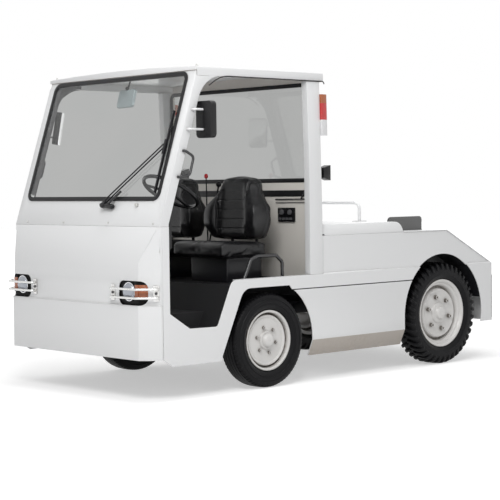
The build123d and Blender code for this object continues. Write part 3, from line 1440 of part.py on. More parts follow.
# Steering knuckles: a fork on a kingpin, a spindle and an arm with a rod pin
FORK_LOW = (222, 244)
FORK_HIGH = (340, 362)
FORK_WEB_IN = 575
FORK_WEB_OUT = 595
FRONT_SPINDLE_R = 25
FRONT_SPINDLE_END = 688
ARM_REACH = 130
ROD_PIN_R = 8
ROD_Z = 205
ROD_EYE_R = 19
ROD_EYE_HALF = 9
ROD_R = 10
for side, name in SIDES:
    with BuildPart() as knuckle:
        for low, high in (FORK_LOW, FORK_HIGH):
            with BuildSketch(Plane.XY.offset(low)):
                with Locations((KINGPIN_X, at(0))):
                    Circle(BOSS_R)
                with Locations(((KINGPIN_X + FORK_WEB_OUT) / 2, at(0))):
                    Rectangle(FORK_WEB_OUT - KINGPIN_X, 2 * BOSS_R)
            extrude(amount=high - low)
        with Locations(((FORK_WEB_IN + FORK_WEB_OUT) / 2, at(0), (FORK_LOW[0] + FORK_HIGH[1]) / 2)):
            Box(FORK_WEB_OUT - FORK_WEB_IN, 2 * BOSS_R, FORK_HIGH[1] - FORK_LOW[0])
        with BuildSketch(Plane.XY.offset(FORK_LOW[0])):
            with Locations((KINGPIN_X, at(0))):
                Circle(KINGPIN_R)
        extrude(amount=FORK_HIGH[1] - FORK_LOW[0])
        with BuildSketch(Plane.YZ.offset(FORK_WEB_IN)):
            with Locations((at(0), FRONT_TYRE_R)):
                Circle(FRONT_SPINDLE_R)
        extrude(amount=FRONT_SPINDLE_END - FORK_WEB_IN)
        with BuildSketch(Plane.XY.offset(FORK_LOW[0])):
            with BuildLine():
                Polyline(
                    (KINGPIN_X - 16, at(BOSS_R - 8)),
                    (KINGPIN_X + 30, at(BOSS_R - 8)),
                    (KINGPIN_X + 16, at(ARM_REACH)),
                    (KINGPIN_X - 16, at(ARM_REACH)),
                    close=True,
                )
            make_face()
            with Locations((KINGPIN_X, at(ARM_REACH))):
                Circle(16)
        extrude(amount=16)
        with BuildSketch(Plane.XY.offset(FORK_LOW[0])):
            with Locations((KINGPIN_X, at(ARM_REACH))):
                Circle(ROD_PIN_R)
        extrude(amount=-(FORK_LOW[0] - ROD_Z + ROD_EYE_HALF + 4))
        if side < 0:
            mirror(about=Plane.YZ, mode=Mode.REPLACE)
    save(knuckle, f"knuckle_{name}")

with BuildPart() as tie_rod:
    with BuildSketch(Plane.YZ.offset(-KINGPIN_X)):
        with Locations((at(ARM_REACH), ROD_Z)):
            Circle(ROD_R)
    extrude(amount=2 * KINGPIN_X)
    for side, name in SIDES:
        with BuildSketch(Plane.XY.offset(ROD_Z - ROD_EYE_HALF)):
            with Locations((side * KINGPIN_X, at(ARM_REACH))):
                Circle(ROD_EYE_R)
        extrude(amount=2 * ROD_EYE_HALF)
    with BuildSketch(Plane.XY.offset(ROD_Z - ROD_EYE_R)):
        with Locations((KINGPIN_X, at(ARM_REACH)), (-KINGPIN_X, at(ARM_REACH))):
            Circle(ROD_PIN_R + RUN_FIT)
    extrude(amount=2 * ROD_EYE_R, mode=Mode.SUBTRACT)
save(tie_rod, "tie_rod")

# Wheels: distance out from the wheel's middle plane, radius
FRONT_WHEEL_X = 645
FRONT_BORE_R = FRONT_SPINDLE_R + RUN_FIT
REAR_BORE_R = REAR_SPINDLE_R + RUN_FIT
FRONT_RIM = (
    (62, 187), (62, 176), (54, 164), (24, 158), (16, 150), (30, 128), (40, 100), (42, 46),
    (60, 38), (72, 22), (74, 0), (50, 0), (50, FRONT_BORE_R), (-40, FRONT_BORE_R), (-40, 60),
    (34, 60), (32, 98), (22, 122), (8, 146), (8, 164), (-62, 164), (-62, 187), (-54, 187),
    (-54, 172), (54, 172), (54, 187),
)
REAR_RIM = (
    (67, 233), (67, 220), (58, 207), (42, 196), (30, 186), (-6, 176), (-12, 160), (2, 146),
    (9, 126), (10, 66), (48, 57), (54, 47), (46, 40), (44, 0), (30, 0), (30, REAR_BORE_R),
    (-60, REAR_BORE_R), (-60, 82), (2, 82), (1, 120), (-7, 140), (-20, 152), (-20, 184),
    (22, 196), (22, 208), (-67, 208), (-67, 233), (-59, 233), (-59, 216), (59, 216), (59, 233),
)
FRONT_TYRE = (
    (53.7, 172.3), (53.7, 188), (66, 198), (78, 228), (76, 262), (66, 283), (46, 290.5), (0, 292),
)
REAR_TYRE = (
    (58.7, 216.3), (58.7, 234), (72, 242), (84, 268), (84, 296), (70, 326), (0, 332),
)
# bar across the tread at the shoulder, as (distance out, radius)
LUG = ((6, 322), (6, 350), (58, 347), (76, 336), (87, 312), (87, 292), (76, 286))
LUG_W = 36
LUG_COUNT = 22
NUT_R = 12
# end, middle plane, rim rows, tyre rows, nut circle radius, nut face, axle station, axle height
WHEELS = (
    ("front", FRONT_WHEEL_X, FRONT_RIM, FRONT_TYRE, 78, 40, 0, FRONT_TYRE_R),
    ("rear", REAR_WHEEL_X, REAR_RIM, REAR_TYRE, 108, 8, WHEELBASE, REAR_TYRE_R),
)
for end, middle, rim_rows, tyre_rows, nut_circle, nut_face, station, height in WHEELS:
    axle_line = Axis((0, at(station), height), (1, 0, 0))
    tyre_outline = list(tyre_rows) + [(-out, r) for out, r in tyre_rows[-2::-1]]
    for side, name in SIDES:
        with BuildPart() as rim:
            with BuildSketch(Plane.XY.offset(height)):
                with BuildLine():
                    Polyline(*[(middle + out, at(station) + r) for out, r in rim_rows], close=True)
                make_face()
            revolve(axis=axle_line)
            with BuildSketch(Plane(origin=(middle + nut_face - 2, at(station), height), z_dir=(1, 0, 0))):
                with PolarLocations(nut_circle, 6):
                    RegularPolygon(NUT_R, 6)
            extrude(amount=14)
            if side < 0:
                mirror(about=Plane.YZ, mode=Mode.REPLACE)
        save(rim, f"rim_{end}_{name}")
        with BuildPart() as tyre:
            with BuildSketch(Plane.XY.offset(height)):
                with BuildLine():
                    Polyline(*[(middle + out, at(station) + r) for out, r in tyre_outline], close=True)
                make_face()
            revolve(axis=axle_line)
            if end == "rear":
                for flip in (1, -1):
                    with BuildPart(mode=Mode.PRIVATE) as lug:
                        with BuildSketch(Plane.XY.offset(-LUG_W / 2)):
                            with BuildLine():
                                Polyline(*[(flip * out, r) for out, r in LUG], close=True)
                            make_face()
                        extrude(amount=LUG_W)
                    turn_start = 0 if flip > 0 else 0.5
                    for step in range(LUG_COUNT):
                        turn = 360 * (step + turn_start) / LUG_COUNT
                        add(lug.part.moved(Location((middle, at(station), height), (turn, 0, 0))))
            if side < 0:
                mirror(about=Plane.YZ, mode=Mode.REPLACE)
        save(tyre, f"tyre_{end}_{name}")
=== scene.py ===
"""The looks of an airport baggage tug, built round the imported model."""
import json
from math import atan2, cos, hypot, pi, radians, sin

import bpy
from mathutils import Euler, Matrix, Vector


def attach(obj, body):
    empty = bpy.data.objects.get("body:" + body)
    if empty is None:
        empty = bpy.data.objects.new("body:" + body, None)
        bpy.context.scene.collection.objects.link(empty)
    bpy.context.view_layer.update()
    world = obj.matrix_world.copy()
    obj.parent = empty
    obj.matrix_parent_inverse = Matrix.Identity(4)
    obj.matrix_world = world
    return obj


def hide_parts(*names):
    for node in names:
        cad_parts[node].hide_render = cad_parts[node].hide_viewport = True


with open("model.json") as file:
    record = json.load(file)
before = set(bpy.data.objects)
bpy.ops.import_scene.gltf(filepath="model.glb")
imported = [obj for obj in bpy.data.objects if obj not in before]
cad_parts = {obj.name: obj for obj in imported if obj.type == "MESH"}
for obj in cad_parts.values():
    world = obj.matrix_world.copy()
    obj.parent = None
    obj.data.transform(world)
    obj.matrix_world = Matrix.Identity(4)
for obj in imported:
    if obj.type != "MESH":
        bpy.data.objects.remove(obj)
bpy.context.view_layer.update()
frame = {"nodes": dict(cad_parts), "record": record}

FRONT_AXLE = -0.651
WHEELBASE = 1.650
MERGE_GAP = 0.00001


def at(station):
    """Row coordinate of a distance behind the front axle, both in metres."""
    return FRONT_AXLE + station


# Camera
PHOTO_PIXELS = 500
FOCAL_PIXELS = 1481.46
SENSOR_MM = 36
CAMERA_PITCH = 2.4944
CAMERA_ROLL = 0.6986
CAMERA_TURN = 47.1965
CAMERA_PLACE = (7.3009, -6.9067, 1.246)
camera_data = bpy.data.cameras.new("camera")
camera_data.sensor_width = SENSOR_MM
camera_data.lens = FOCAL_PIXELS / PHOTO_PIXELS * SENSOR_MM
camera = bpy.data.objects.new("camera", camera_data)
bpy.context.scene.collection.objects.link(camera)
turned = Euler((radians(90 - CAMERA_PITCH), 0, radians(CAMERA_TURN))).to_matrix()
camera.matrix_world = (turned @ Matrix.Rotation(radians(-CAMERA_ROLL), 3, "Z")).to_4x4()
camera.location = CAMERA_PLACE
bpy.context.scene.camera = camera
bpy.context.scene.view_settings.view_transform = "Standard"


# Working in object and edit mode
def deselect():
    if bpy.context.object and bpy.context.object.mode != "OBJECT":
        bpy.ops.object.mode_set(mode="OBJECT")
    bpy.ops.object.select_all(action="DESELECT")


def activate(piece):
    deselect()
    piece.select_set(True)
    bpy.context.view_layer.objects.active = piece


def edit(piece):
    activate(piece)
    bpy.ops.object.mode_set(mode="EDIT")
    bpy.ops.mesh.select_mode(type="VERT")
    bpy.ops.mesh.select_all(action="SELECT")


def done():
    bpy.ops.object.mode_set(mode="OBJECT")
    return bpy.context.object


def settle(piece):
    activate(piece)
    bpy.ops.object.transform_apply(location=True, rotation=True, scale=True)
    return piece


def apply_all(piece):
    activate(piece)
    for modifier in list(piece.modifiers):
        bpy.ops.object.modifier_apply(modifier=modifier.name)
    return piece


def round_edges(piece, width, segments=2, angle=30):
    bevel = piece.modifiers.new("rounded", "BEVEL")
    bevel.width = width
    bevel.segments = segments
    bevel.limit_method = "ANGLE"
    bevel.angle_limit = radians(angle)
    bevel.use_clamp_overlap = False
    return apply_all(piece)


def smooth(piece, angle=40):
    activate(piece)
    bpy.ops.object.shade_smooth_by_angle(angle=radians(angle))
    return piece


def joined(pieces):
    deselect()
    for piece in pieces:
        piece.select_set(True)
    bpy.context.view_layer.objects.active = pieces[0]
    bpy.ops.object.join()
    return bpy.context.object


def mirrored(piece):
    """A second piece on the other side of the tug."""
    activate(piece)
    bpy.ops.object.duplicate()
    other = bpy.context.object
    other.scale = (-1, 1, 1)
    settle(other)
    edit(other)
    bpy.ops.mesh.normals_make_consistent(inside=False)
    done()
    return other


def both_sides(piece):
    return joined([piece, mirrored(piece)])


def block(size, centre, turn=(0, 0, 0)):
    bpy.ops.mesh.primitive_cube_add(size=1, location=centre, rotation=turn)
    piece = bpy.context.object
    piece.scale = size
    return settle(piece)


def disc(radius, depth, centre, along=(0, 0, 1), sides=32):
    """A closed cylinder whose middle is at centre."""
    turn = Vector((0, 0, 1)).rotation_difference(Vector(along)).to_euler()
    bpy.ops.mesh.primitive_cylinder_add(
        radius=radius, depth=depth, vertices=sides, location=centre, rotation=turn
    )
    return settle(bpy.context.object)


def drawn_line(points, closed=False):
    """Edges through points, each extruded from the last."""
    bpy.ops.mesh.primitive_plane_add(size=0.01, location=points[0])
    line = settle(bpy.context.object)
    edit(line)
    bpy.ops.mesh.merge(type="CENTER")
    for start, end in zip(points, points[1:]):
        step = Vector(end) - Vector(start)
        bpy.ops.mesh.extrude_region_move(TRANSFORM_OT_translate={"value": step})
    if closed:
        bpy.ops.mesh.select_all(action="SELECT")
        bpy.ops.mesh.edge_face_add()
    return done()


def turned_form(profile, middle, steps):
    """A closed form turned about a wheel's axis from rows of (distance along X, radius)."""
    points = [(middle[0] + along, middle[1], middle[2] + radius) for along, radius in profile]
    edit(drawn_line(points))
    bpy.ops.mesh.edge_face_add()
    bpy.ops.mesh.delete(type="ONLY_FACE")
    bpy.ops.mesh.select_all(action="SELECT")
    bpy.ops.mesh.spin(steps=steps, angle=2 * pi, center=middle, axis=(1, 0, 0))
    bpy.ops.mesh.select_all(action="SELECT")
    bpy.ops.mesh.remove_doubles(threshold=2 * MERGE_GAP)
    bpy.ops.mesh.normals_make_consistent(inside=False)
    return done()


def rod(points, radius, bend=0.02):
    """A round bar along points, with its corners bent round."""
    curve = bpy.data.curves.new("rod", "CURVE")
    curve.dimensions = "3D"
    curve.bevel_depth = radius
    curve.bevel_resolution = 4
    curve.use_fill_caps = True
    path = bent(points, bend)
    spline = curve.splines.new("POLY")
    spline.points.add(len(path) - 1)
    for point, place in zip(spline.points, path):
        point.co = (*place, 1)
    bar = bpy.data.objects.new("rod", curve)
    bpy.context.scene.collection.objects.link(bar)
    activate(bar)
    bpy.ops.object.convert(target="MESH")
    edit(bpy.context.object)
    bpy.ops.mesh.remove_doubles(threshold=MERGE_GAP)
    bpy.ops.mesh.normals_make_consistent(inside=False)
    return done()


CORNER_POINTS = 6
STRAIGHT = 0.02


def bent(points, bend):
    """The same line with an arc in place of each corner."""
    points = [Vector(p) for p in points]
    line = [points[0]]
    for before, corner, after in zip(points, points[1:], points[2:]):
        into = (corner - before).normalized()
        out = (after - corner).normalized()
        reach = min(bend, (corner - before).length * 0.48, (after - corner).length * 0.48)
        if into.angle(out) < STRAIGHT:
            line.append(corner)
            continue
        start = corner - into * reach
        end = corner + out * reach
        for step in range(CORNER_POINTS + 1):
            share = step / CORNER_POINTS
            line.append(
                start * (1 - share) ** 2 + corner * 2 * share * (1 - share) + end * share**2
            )
    line.append(points[-1])
    return line


# Shader node groups
def new_group(name, inputs, outputs):
    group = bpy.data.node_groups.new(name, "ShaderNodeTree")
    for label, kind, value in inputs:
        socket = group.interface.new_socket(label, in_out="INPUT", socket_type=kind)
        socket.default_value = value
    for label, kind in outputs:
        group.interface.new_socket(label, in_out="OUTPUT", socket_type=kind)
    group.nodes.new("NodeGroupInput").name = "given"
    group.nodes.new("NodeGroupOutput").name = "result"
    return group


def noise(tree, coordinates, scale, detail=3.0, roughness=0.5):
    texture = tree.nodes.new("ShaderNodeTexNoise")
    texture.inputs["Detail"].default_value = detail
    texture.inputs["Roughness"].default_value = roughness
    if isinstance(scale, (int, float)):
        texture.inputs["Scale"].default_value = scale
    else:
        tree.links.new(scale, texture.inputs["Scale"])
    tree.links.new(coordinates, texture.inputs["Vector"])
    return texture.outputs["Fac"]


def math_node(tree, operation, first, second=0.0, clamp=False):
    node = tree.nodes.new("ShaderNodeMath")
    node.operation = operation
    node.use_clamp = clamp
    for socket, value in zip(node.inputs, (first, second)):
        if isinstance(value, (int, float)):
            socket.default_value = value
        else:
            tree.links.new(value, socket)
    return node.outputs[0]


def ranged(tree, value, low, high, to_low=0.0, to_high=1.0):
    node = tree.nodes.new("ShaderNodeMapRange")
    node.inputs["From Min"].default_value = low
    node.inputs["From Max"].default_value = high
    node.inputs["To Min"].default_value = to_low
    node.inputs["To Max"].default_value = to_high
    tree.links.new(value, node.inputs["Value"])
    return node.outputs["Result"]


def object_place(tree):
    return tree.nodes.new("ShaderNodeTexCoord").outputs["Object"]


def grime_group():
    """Thin dust low down, broken up by two noises."""
    group = new_group(
        "settled_dust",
        [
            ("Colour", "NodeSocketColor", (0.8, 0.8, 0.8, 1)),
            ("Dust Colour", "NodeSocketColor", (0.5, 0.48, 0.44, 1)),
            ("Amount", "NodeSocketFloat", 0.1),
            ("Top Height", "NodeSocketFloat", 0.8),
        ],
        [("Colour", "NodeSocketColor"), ("Mask", "NodeSocketFloat")],
    )
    given = group.nodes["given"]
    place = object_place(group)
    split = group.nodes.new("ShaderNodeSeparateXYZ")
    group.links.new(place, split.inputs[0])
    low = math_node(group, "DIVIDE", split.outputs["Z"], given.outputs["Top Height"])
    low = math_node(group, "SUBTRACT", 1.0, low, clamp=True)
    broad = ranged(group, noise(group, place, 3.1, 4), 0.38, 0.72)
    fine = ranged(group, noise(group, place, 46.0, 5, 0.62), 0.35, 0.7)
    broken = math_node(group, "MULTIPLY", broad, fine)
    mask = math_node(group, "MULTIPLY", low, math_node(group, "ADD", broken, 0.35))
    mask = math_node(group, "MULTIPLY", mask, given.outputs["Amount"], clamp=True)
    mix = group.nodes.new("ShaderNodeMix")
    mix.data_type = "RGBA"
    group.links.new(mask, mix.inputs[0])
    group.links.new(given.outputs["Colour"], mix.inputs[6])
    group.links.new(given.outputs["Dust Colour"], mix.inputs[7])
    group.links.new(mix.outputs[2], group.nodes["result"].inputs["Colour"])
    group.links.new(mask, group.nodes["result"].inputs["Mask"])
    return group


def surface_group():
    """Small height differences: a fine grain over broad, shallow waves."""
    group = new_group(
        "surface_relief",
        [
            ("Grain Scale", "NodeSocketFloat", 300.0),
            ("Grain", "NodeSocketFloat", 0.5),
            ("Wave Scale", "NodeSocketFloat", 8.0),
            ("Wave", "NodeSocketFloat", 0.5),
        ],
        [("Height", "NodeSocketFloat"), ("Fleck", "NodeSocketFloat")],
    )
    given = group.nodes["given"]
    place = object_place(group)
    grain = noise(group, place, given.outputs["Grain Scale"], 4, 0.6)
    wave = noise(group, place, given.outputs["Wave Scale"], 2, 0.4)
    height = math_node(
        group,
        "ADD",
        math_node(group, "MULTIPLY", grain, given.outputs["Grain"]),
        math_node(group, "MULTIPLY", wave, given.outputs["Wave"]),
    )
    group.links.new(height, group.nodes["result"].inputs["Height"])
    group.links.new(grain, group.nodes["result"].inputs["Fleck"])
    return group


def wear_group():
    """Mask of worn corners, from how sharply the surface bends, broken by noise."""
    group = new_group(
        "corner_wear",
        [("Threshold", "NodeSocketFloat", 0.55), ("Amount", "NodeSocketFloat", 0.5)],
        [("Mask", "NodeSocketFloat")],
    )
    given = group.nodes["given"]
    geometry = group.nodes.new("ShaderNodeNewGeometry")
    place = object_place(group)
    sharp = math_node(
        group, "SUBTRACT", geometry.outputs["Pointiness"], given.outputs["Threshold"]
    )
    sharp = math_node(group, "MULTIPLY", sharp, 18.0, clamp=True)
    broken = ranged(group, noise(group, place, 70.0, 6, 0.7), 0.42, 0.62)
    mask = math_node(group, "MULTIPLY", sharp, broken)
    mask = math_node(group, "MULTIPLY", mask, given.outputs["Amount"], clamp=True)
    group.links.new(mask, group.nodes["result"].inputs["Mask"])
    return group


def painted_crevice_shade_group():
    """Painted shade in corners and round bolts: ambient occlusion darkens the colour towards a
    dirt-brown tone.
    """
    group = new_group(
        "painted_crevice_shade",
        [
            ("Colour", "NodeSocketColor", (0.8, 0.8, 0.8, 1)),
            ("Shade Colour", "NodeSocketColor", (0.14, 0.11, 0.085, 1)),
            ("Amount", "NodeSocketFloat", 0.5),
        ],
        [("Colour", "NodeSocketColor")],
    )
    given = group.nodes["given"]
    shade = group.nodes.new("ShaderNodeAmbientOcclusion")
    shade.samples = 8
    shade.inputs["Distance"].default_value = 0.022
    occluded = ranged(group, shade.outputs["AO"], 0.30, 0.93, 1.0, 0.0)
    patchy = ranged(group, noise(group, object_place(group), 38.0, 4, 0.6), 0.3, 0.62, 0.45, 1.0)
    mask = math_node(group, "MULTIPLY", occluded, patchy)
    mask = math_node(group, "MULTIPLY", mask, given.outputs["Amount"], clamp=True)
    mix = group.nodes.new("ShaderNodeMix")
    mix.data_type = "RGBA"
    group.links.new(mask, mix.inputs[0])
    group.links.new(given.outputs["Colour"], mix.inputs[6])
    group.links.new(given.outputs["Shade Colour"], mix.inputs[7])
    group.links.new(mix.outputs[2], group.nodes["result"].inputs["Colour"])
    return group


CREVICE_SHADE = painted_crevice_shade_group()
GRIME = grime_group()
RELIEF = surface_group()
WEAR = wear_group()


def placed_group(tree, group, **values):
    node = tree.nodes.new("ShaderNodeGroup")
    node.node_tree = group
    for label, value in values.items():
        node.inputs[label.replace("_", " ")].default_value = value
    return node


def finish_of(
    name,
    colour,
    rough,
    metal=0.0,
    coat=0.0,
    grain=(300.0, 0.4),
    wave=(8.0, 0.3),
    bump=0.05,
    rough_spread=0.06,
    dust=0.1,
    dust_colour=(0.5, 0.48, 0.44, 1),
    dust_top=0.8,
    worn=None,
    specular=0.5,
    crevice_shade=0.0,
):
    """A finish with dust, relief, uneven gloss and, where asked, painted shade in corners and worn
    corners.
    """
    material = bpy.data.materials.new(name)
    material.use_nodes = True
    tree = material.node_tree
    shader = tree.nodes["Principled BSDF"]
    shader.inputs["Metallic"].default_value = metal
    shader.inputs["Coat Weight"].default_value = coat
    shader.inputs["Coat Roughness"].default_value = 0.12
    shader.inputs["Specular IOR Level"].default_value = specular
    grime = placed_group(tree, GRIME, Amount=dust, Dust_Colour=dust_colour, Top_Height=dust_top)
    grime.inputs["Colour"].default_value = (*colour, 1)
    relief = placed_group(
        tree, RELIEF, Grain_Scale=grain[0], Grain=grain[1], Wave_Scale=wave[0], Wave=wave[1]
    )
    last_colour = grime.outputs["Colour"]
    gloss = ranged(tree, relief.outputs["Fleck"], 0.3, 0.7, rough - rough_spread, rough + rough_spread)
    gloss = math_node(
        tree, "ADD", gloss, math_node(tree, "MULTIPLY", grime.outputs["Mask"], 0.35), clamp=True
    )
    # Where asked, ambient occlusion paints shade into corners and round bolts.
    if crevice_shade:
        corners = placed_group(tree, CREVICE_SHADE, Amount=crevice_shade)
        tree.links.new(last_colour, corners.inputs["Colour"])
        last_colour = corners.outputs["Colour"]
    if worn:
        wear = placed_group(tree, WEAR, Threshold=worn[1], Amount=worn[2])
        mix = tree.nodes.new("ShaderNodeMix")
        mix.data_type = "RGBA"
        tree.links.new(wear.outputs["Mask"], mix.inputs[0])
        tree.links.new(last_colour, mix.inputs[6])
        mix.inputs[7].default_value = (*worn[0], 1)
        last_colour = mix.outputs[2]
    tree.links.new(last_colour, shader.inputs["Base Color"])
    tree.links.new(gloss, shader.inputs["Roughness"])
    hump = tree.nodes.new("ShaderNodeBump")
    hump.inputs["Strength"].default_value = bump
    hump.inputs["Distance"].default_value = 0.002
    tree.links.new(relief.outputs["Height"], hump.inputs["Height"])
    tree.links.new(hump.outputs["Normal"], shader.inputs["Normal"])
    return material


white_enamel = finish_of(
    "white_enamel", (0.80, 0.805, 0.81), 0.32, coat=0.25, grain=(420, 0.25), wave=(26, 0.6),
    bump=0.05, dust=0.10, dust_colour=(0.62, 0.61, 0.58, 1), dust_top=0.7,
    worn=((0.62, 0.62, 0.6), 0.56, 0.25), crevice_shade=0.4,
)
# Darker brown white for the skirts' downward-facing lower fold: part dust, part painted shade.
dust_and_shade_enamel = finish_of(
    "dust_and_shade_enamel", (0.52, 0.48, 0.44), 0.5, grain=(420, 0.4), wave=(26, 0.6), bump=0.08,
    dust=0.5, dust_colour=(0.36, 0.31, 0.26, 1), dust_top=0.7, specular=0.3,
)
ceiling_board = finish_of(
    "ceiling_board", (0.80, 0.76, 0.72), 0.55, grain=(260, 0.6), wave=(46, 1.0), bump=0.5, dust=0.0,
)
inner_trim = finish_of(
    "inner_trim", (0.10, 0.10, 0.105), 0.45, grain=(400, 0.5), wave=(14, 0.5), bump=0.1, dust=0.0,
    specular=0.3,
)
lamp_black = finish_of(
    "lamp_black", (0.004, 0.004, 0.004), 0.4, grain=(400, 0.5), wave=(14, 0.5), bump=0.1, dust=0.0,
    specular=0.08,
)
lamp_face = finish_of(
    "lamp_face", (0.36, 0.38, 0.42), 0.14, metal=0.55, grain=(150, 0.8), wave=(90, 0.9), bump=0.5,
    dust=0.0, crevice_shade=0.6,
)
cab_enamel = finish_of(
    "cab_enamel", (0.74, 0.71, 0.66), 0.38, coat=0.15, grain=(380, 0.3), wave=(14, 0.7),
    bump=0.08, dust=0.08, dust_top=1.4,
)
black_enamel = finish_of(
    "black_enamel", (0.010, 0.010, 0.012), 0.34, coat=0.1, grain=(520, 0.5), wave=(18, 0.4),
    bump=0.12, dust=0.06, dust_colour=(0.12, 0.115, 0.11, 1), dust_top=0.7,
    worn=((0.2, 0.2, 0.2), 0.57, 0.5), specular=0.25,
)
forging = finish_of(
    "black_forging", (0.020, 0.020, 0.021), 0.62, grain=(160, 0.9), wave=(20, 0.6), bump=0.5,
    dust=0.16, dust_colour=(0.10, 0.09, 0.08, 1), dust_top=0.6, specular=0.12,
)
wheel_enamel = finish_of(
    "wheel_enamel", (0.74, 0.73, 0.715), 0.36, coat=0.15, grain=(400, 0.3), wave=(30, 0.5),
    bump=0.07, dust=0.22, dust_colour=(0.42, 0.39, 0.35, 1), dust_top=0.75,
    worn=((0.4, 0.38, 0.36), 0.57, 0.35), crevice_shade=1.0,
)
tyre_rubber = finish_of(
    "tyre_rubber", (0.006, 0.006, 0.007), 0.42, grain=(700, 0.8), wave=(60, 0.5), bump=0.35,
    rough_spread=0.08, dust=0.10, dust_colour=(0.04, 0.038, 0.036, 1), dust_top=0.75, specular=0.12,
)
seal_rubber = finish_of(
    "seal_rubber", (0.012, 0.012, 0.013), 0.42, grain=(600, 0.5), wave=(40, 0.4), bump=0.15,
    dust=0.03, dust_colour=(0.12, 0.12, 0.12, 1), specular=0.25,
)
grained_plastic = finish_of(
    "grained_plastic", (0.010, 0.010, 0.011), 0.34, grain=(900, 1.0), wave=(30, 0.2), bump=0.25,
    dust=0.04, dust_colour=(0.12, 0.12, 0.12, 1), dust_top=1.2, specular=0.3,
)
smooth_plastic = finish_of(
    "smooth_plastic", (0.008, 0.008, 0.009), 0.24, grain=(500, 0.4), wave=(20, 0.3), bump=0.05,
    dust=0.03, dust_colour=(0.1, 0.1, 0.1, 1), specular=0.3,
)
zinc = finish_of(
    "zinc_plate", (0.62, 0.62, 0.60), 0.32, metal=1.0, grain=(500, 0.6), wave=(60, 0.4), bump=0.12,
    rough_spread=0.1, dust=0.15,
)
floor_mat = finish_of(
    "ribbed_floor_mat", (0.010, 0.010, 0.011), 0.55, grain=(260, 1.0), wave=(10, 0.2), bump=0.5,
    dust=0.12, dust_colour=(0.08, 0.078, 0.075, 1), dust_top=1.0, specular=0.15,
)
lamp_reflector = finish_of(
    "lamp_reflector", (0.85, 0.85, 0.86), 0.10, metal=1.0, grain=(200, 0.2), wave=(30, 0.5),
    bump=0.05, rough_spread=0.03, dust=0.0,
)
rail_paint = finish_of(
    "rail_paint", (0.016, 0.016, 0.018), 0.28, coat=0.3, grain=(520, 0.5), wave=(18, 0.4),
    bump=0.1, dust=0.04, dust_colour=(0.12, 0.12, 0.12, 1), dust_top=1.4,
    worn=((0.2, 0.2, 0.2), 0.57, 0.4),
)
stop_grey = finish_of(
    "stop_grey", (0.13, 0.13, 0.13), 0.45, grain=(500, 0.6), wave=(20, 0.6), bump=0.15, dust=0.1,
    dust_colour=(0.3, 0.29, 0.28, 1), dust_top=1.3, specular=0.3,
)
# Dark brown for the sides of the wheel nuts and studs: painted shade round each nut.
nut_side_shade = finish_of(
    "nut_side_shade", (0.16, 0.145, 0.13), 0.5, metal=0.3, grain=(400, 0.6), wave=(60, 0.4), bump=0.2,
    dust=0.2, specular=0.3,
)
guard_steel = finish_of(
    "guard_steel", (0.74, 0.74, 0.73), 0.26, metal=0.75, grain=(500, 0.6), wave=(60, 0.4), bump=0.08,
    rough_spread=0.08, dust=0.1, crevice_shade=1.0,
)
mirror_back = finish_of(
    "mirror_back", (0.36, 0.42, 0.44), 0.4, grain=(500, 0.6), wave=(40, 0.4), bump=0.1, dust=0.0,
)
red_knob = finish_of(
    "red_knob", (0.55, 0.012, 0.02), 0.25, coat=0.3, grain=(300, 0.2), wave=(20, 0.2), bump=0.03,
    dust=0.0,
)
vinyl = finish_of(
    "seat_vinyl", (0.006, 0.006, 0.007), 0.30, grain=(620, 1.0), wave=(24, 0.7), bump=0.25,
    rough_spread=0.08, dust=0.03, dust_colour=(0.06, 0.06, 0.06, 1), dust_top=1.6, specular=0.42,
)


def lens_of(name, colour, rib_scale):
    """A moulded lens with ribs across it."""
    material = bpy.data.materials.new(name)
    material.use_nodes = True
    tree = material.node_tree
    shader = tree.nodes["Principled BSDF"]
    shader.inputs["Coat Weight"].default_value = 0.6
    place = object_place(tree)
    split = tree.nodes.new("ShaderNodeSeparateXYZ")
    tree.links.new(place, split.inputs[0])
    across = math_node(tree, "MULTIPLY", split.outputs["Z"], rib_scale)
    ribs = math_node(tree, "SINE", across)
    # The colour goes darker and lighter along the ribs: painted shading of the ribs.
    shade = ranged(tree, ribs, -1, 1, 0.72, 1.15)
    mix = tree.nodes.new("ShaderNodeMix")
    mix.data_type = "RGBA"
    mix.inputs[6].default_value = (colour[0] * 0.55, colour[1] * 0.5, colour[2] * 0.5, 1)
    mix.inputs[7].default_value = (*colour, 1)
    fleck = noise(tree, place, 160.0, 2)
    speckled = ranged(tree, fleck, 0.3, 0.7, 0.7, 1.0)
    tree.links.new(math_node(tree, "MULTIPLY", shade, speckled), mix.inputs[0])
    tree.links.new(mix.outputs[2], shader.inputs["Base Color"])
    tree.links.new(ranged(tree, fleck, 0.3, 0.7, 0.12, 0.22), shader.inputs["Roughness"])
    hump = tree.nodes.new("ShaderNodeBump")
    hump.inputs["Strength"].default_value = 0.35
    hump.inputs["Distance"].default_value = 0.001
    tree.links.new(ribs, hump.inputs["Height"])
    tree.links.new(hump.outputs["Normal"], shader.inputs["Normal"])
    return material


amber_lens = lens_of("amber_lens", (0.42, 0.095, 0.012), 1400)
red_lens = lens_of("red_lens", (0.62, 0.01, 0.012), 1400)
clear_lens = lens_of("clear_lens", (0.86, 0.87, 0.88), 1100)


GLASS_FILM = 0.012
SHADOW_LIGHT = 0.8


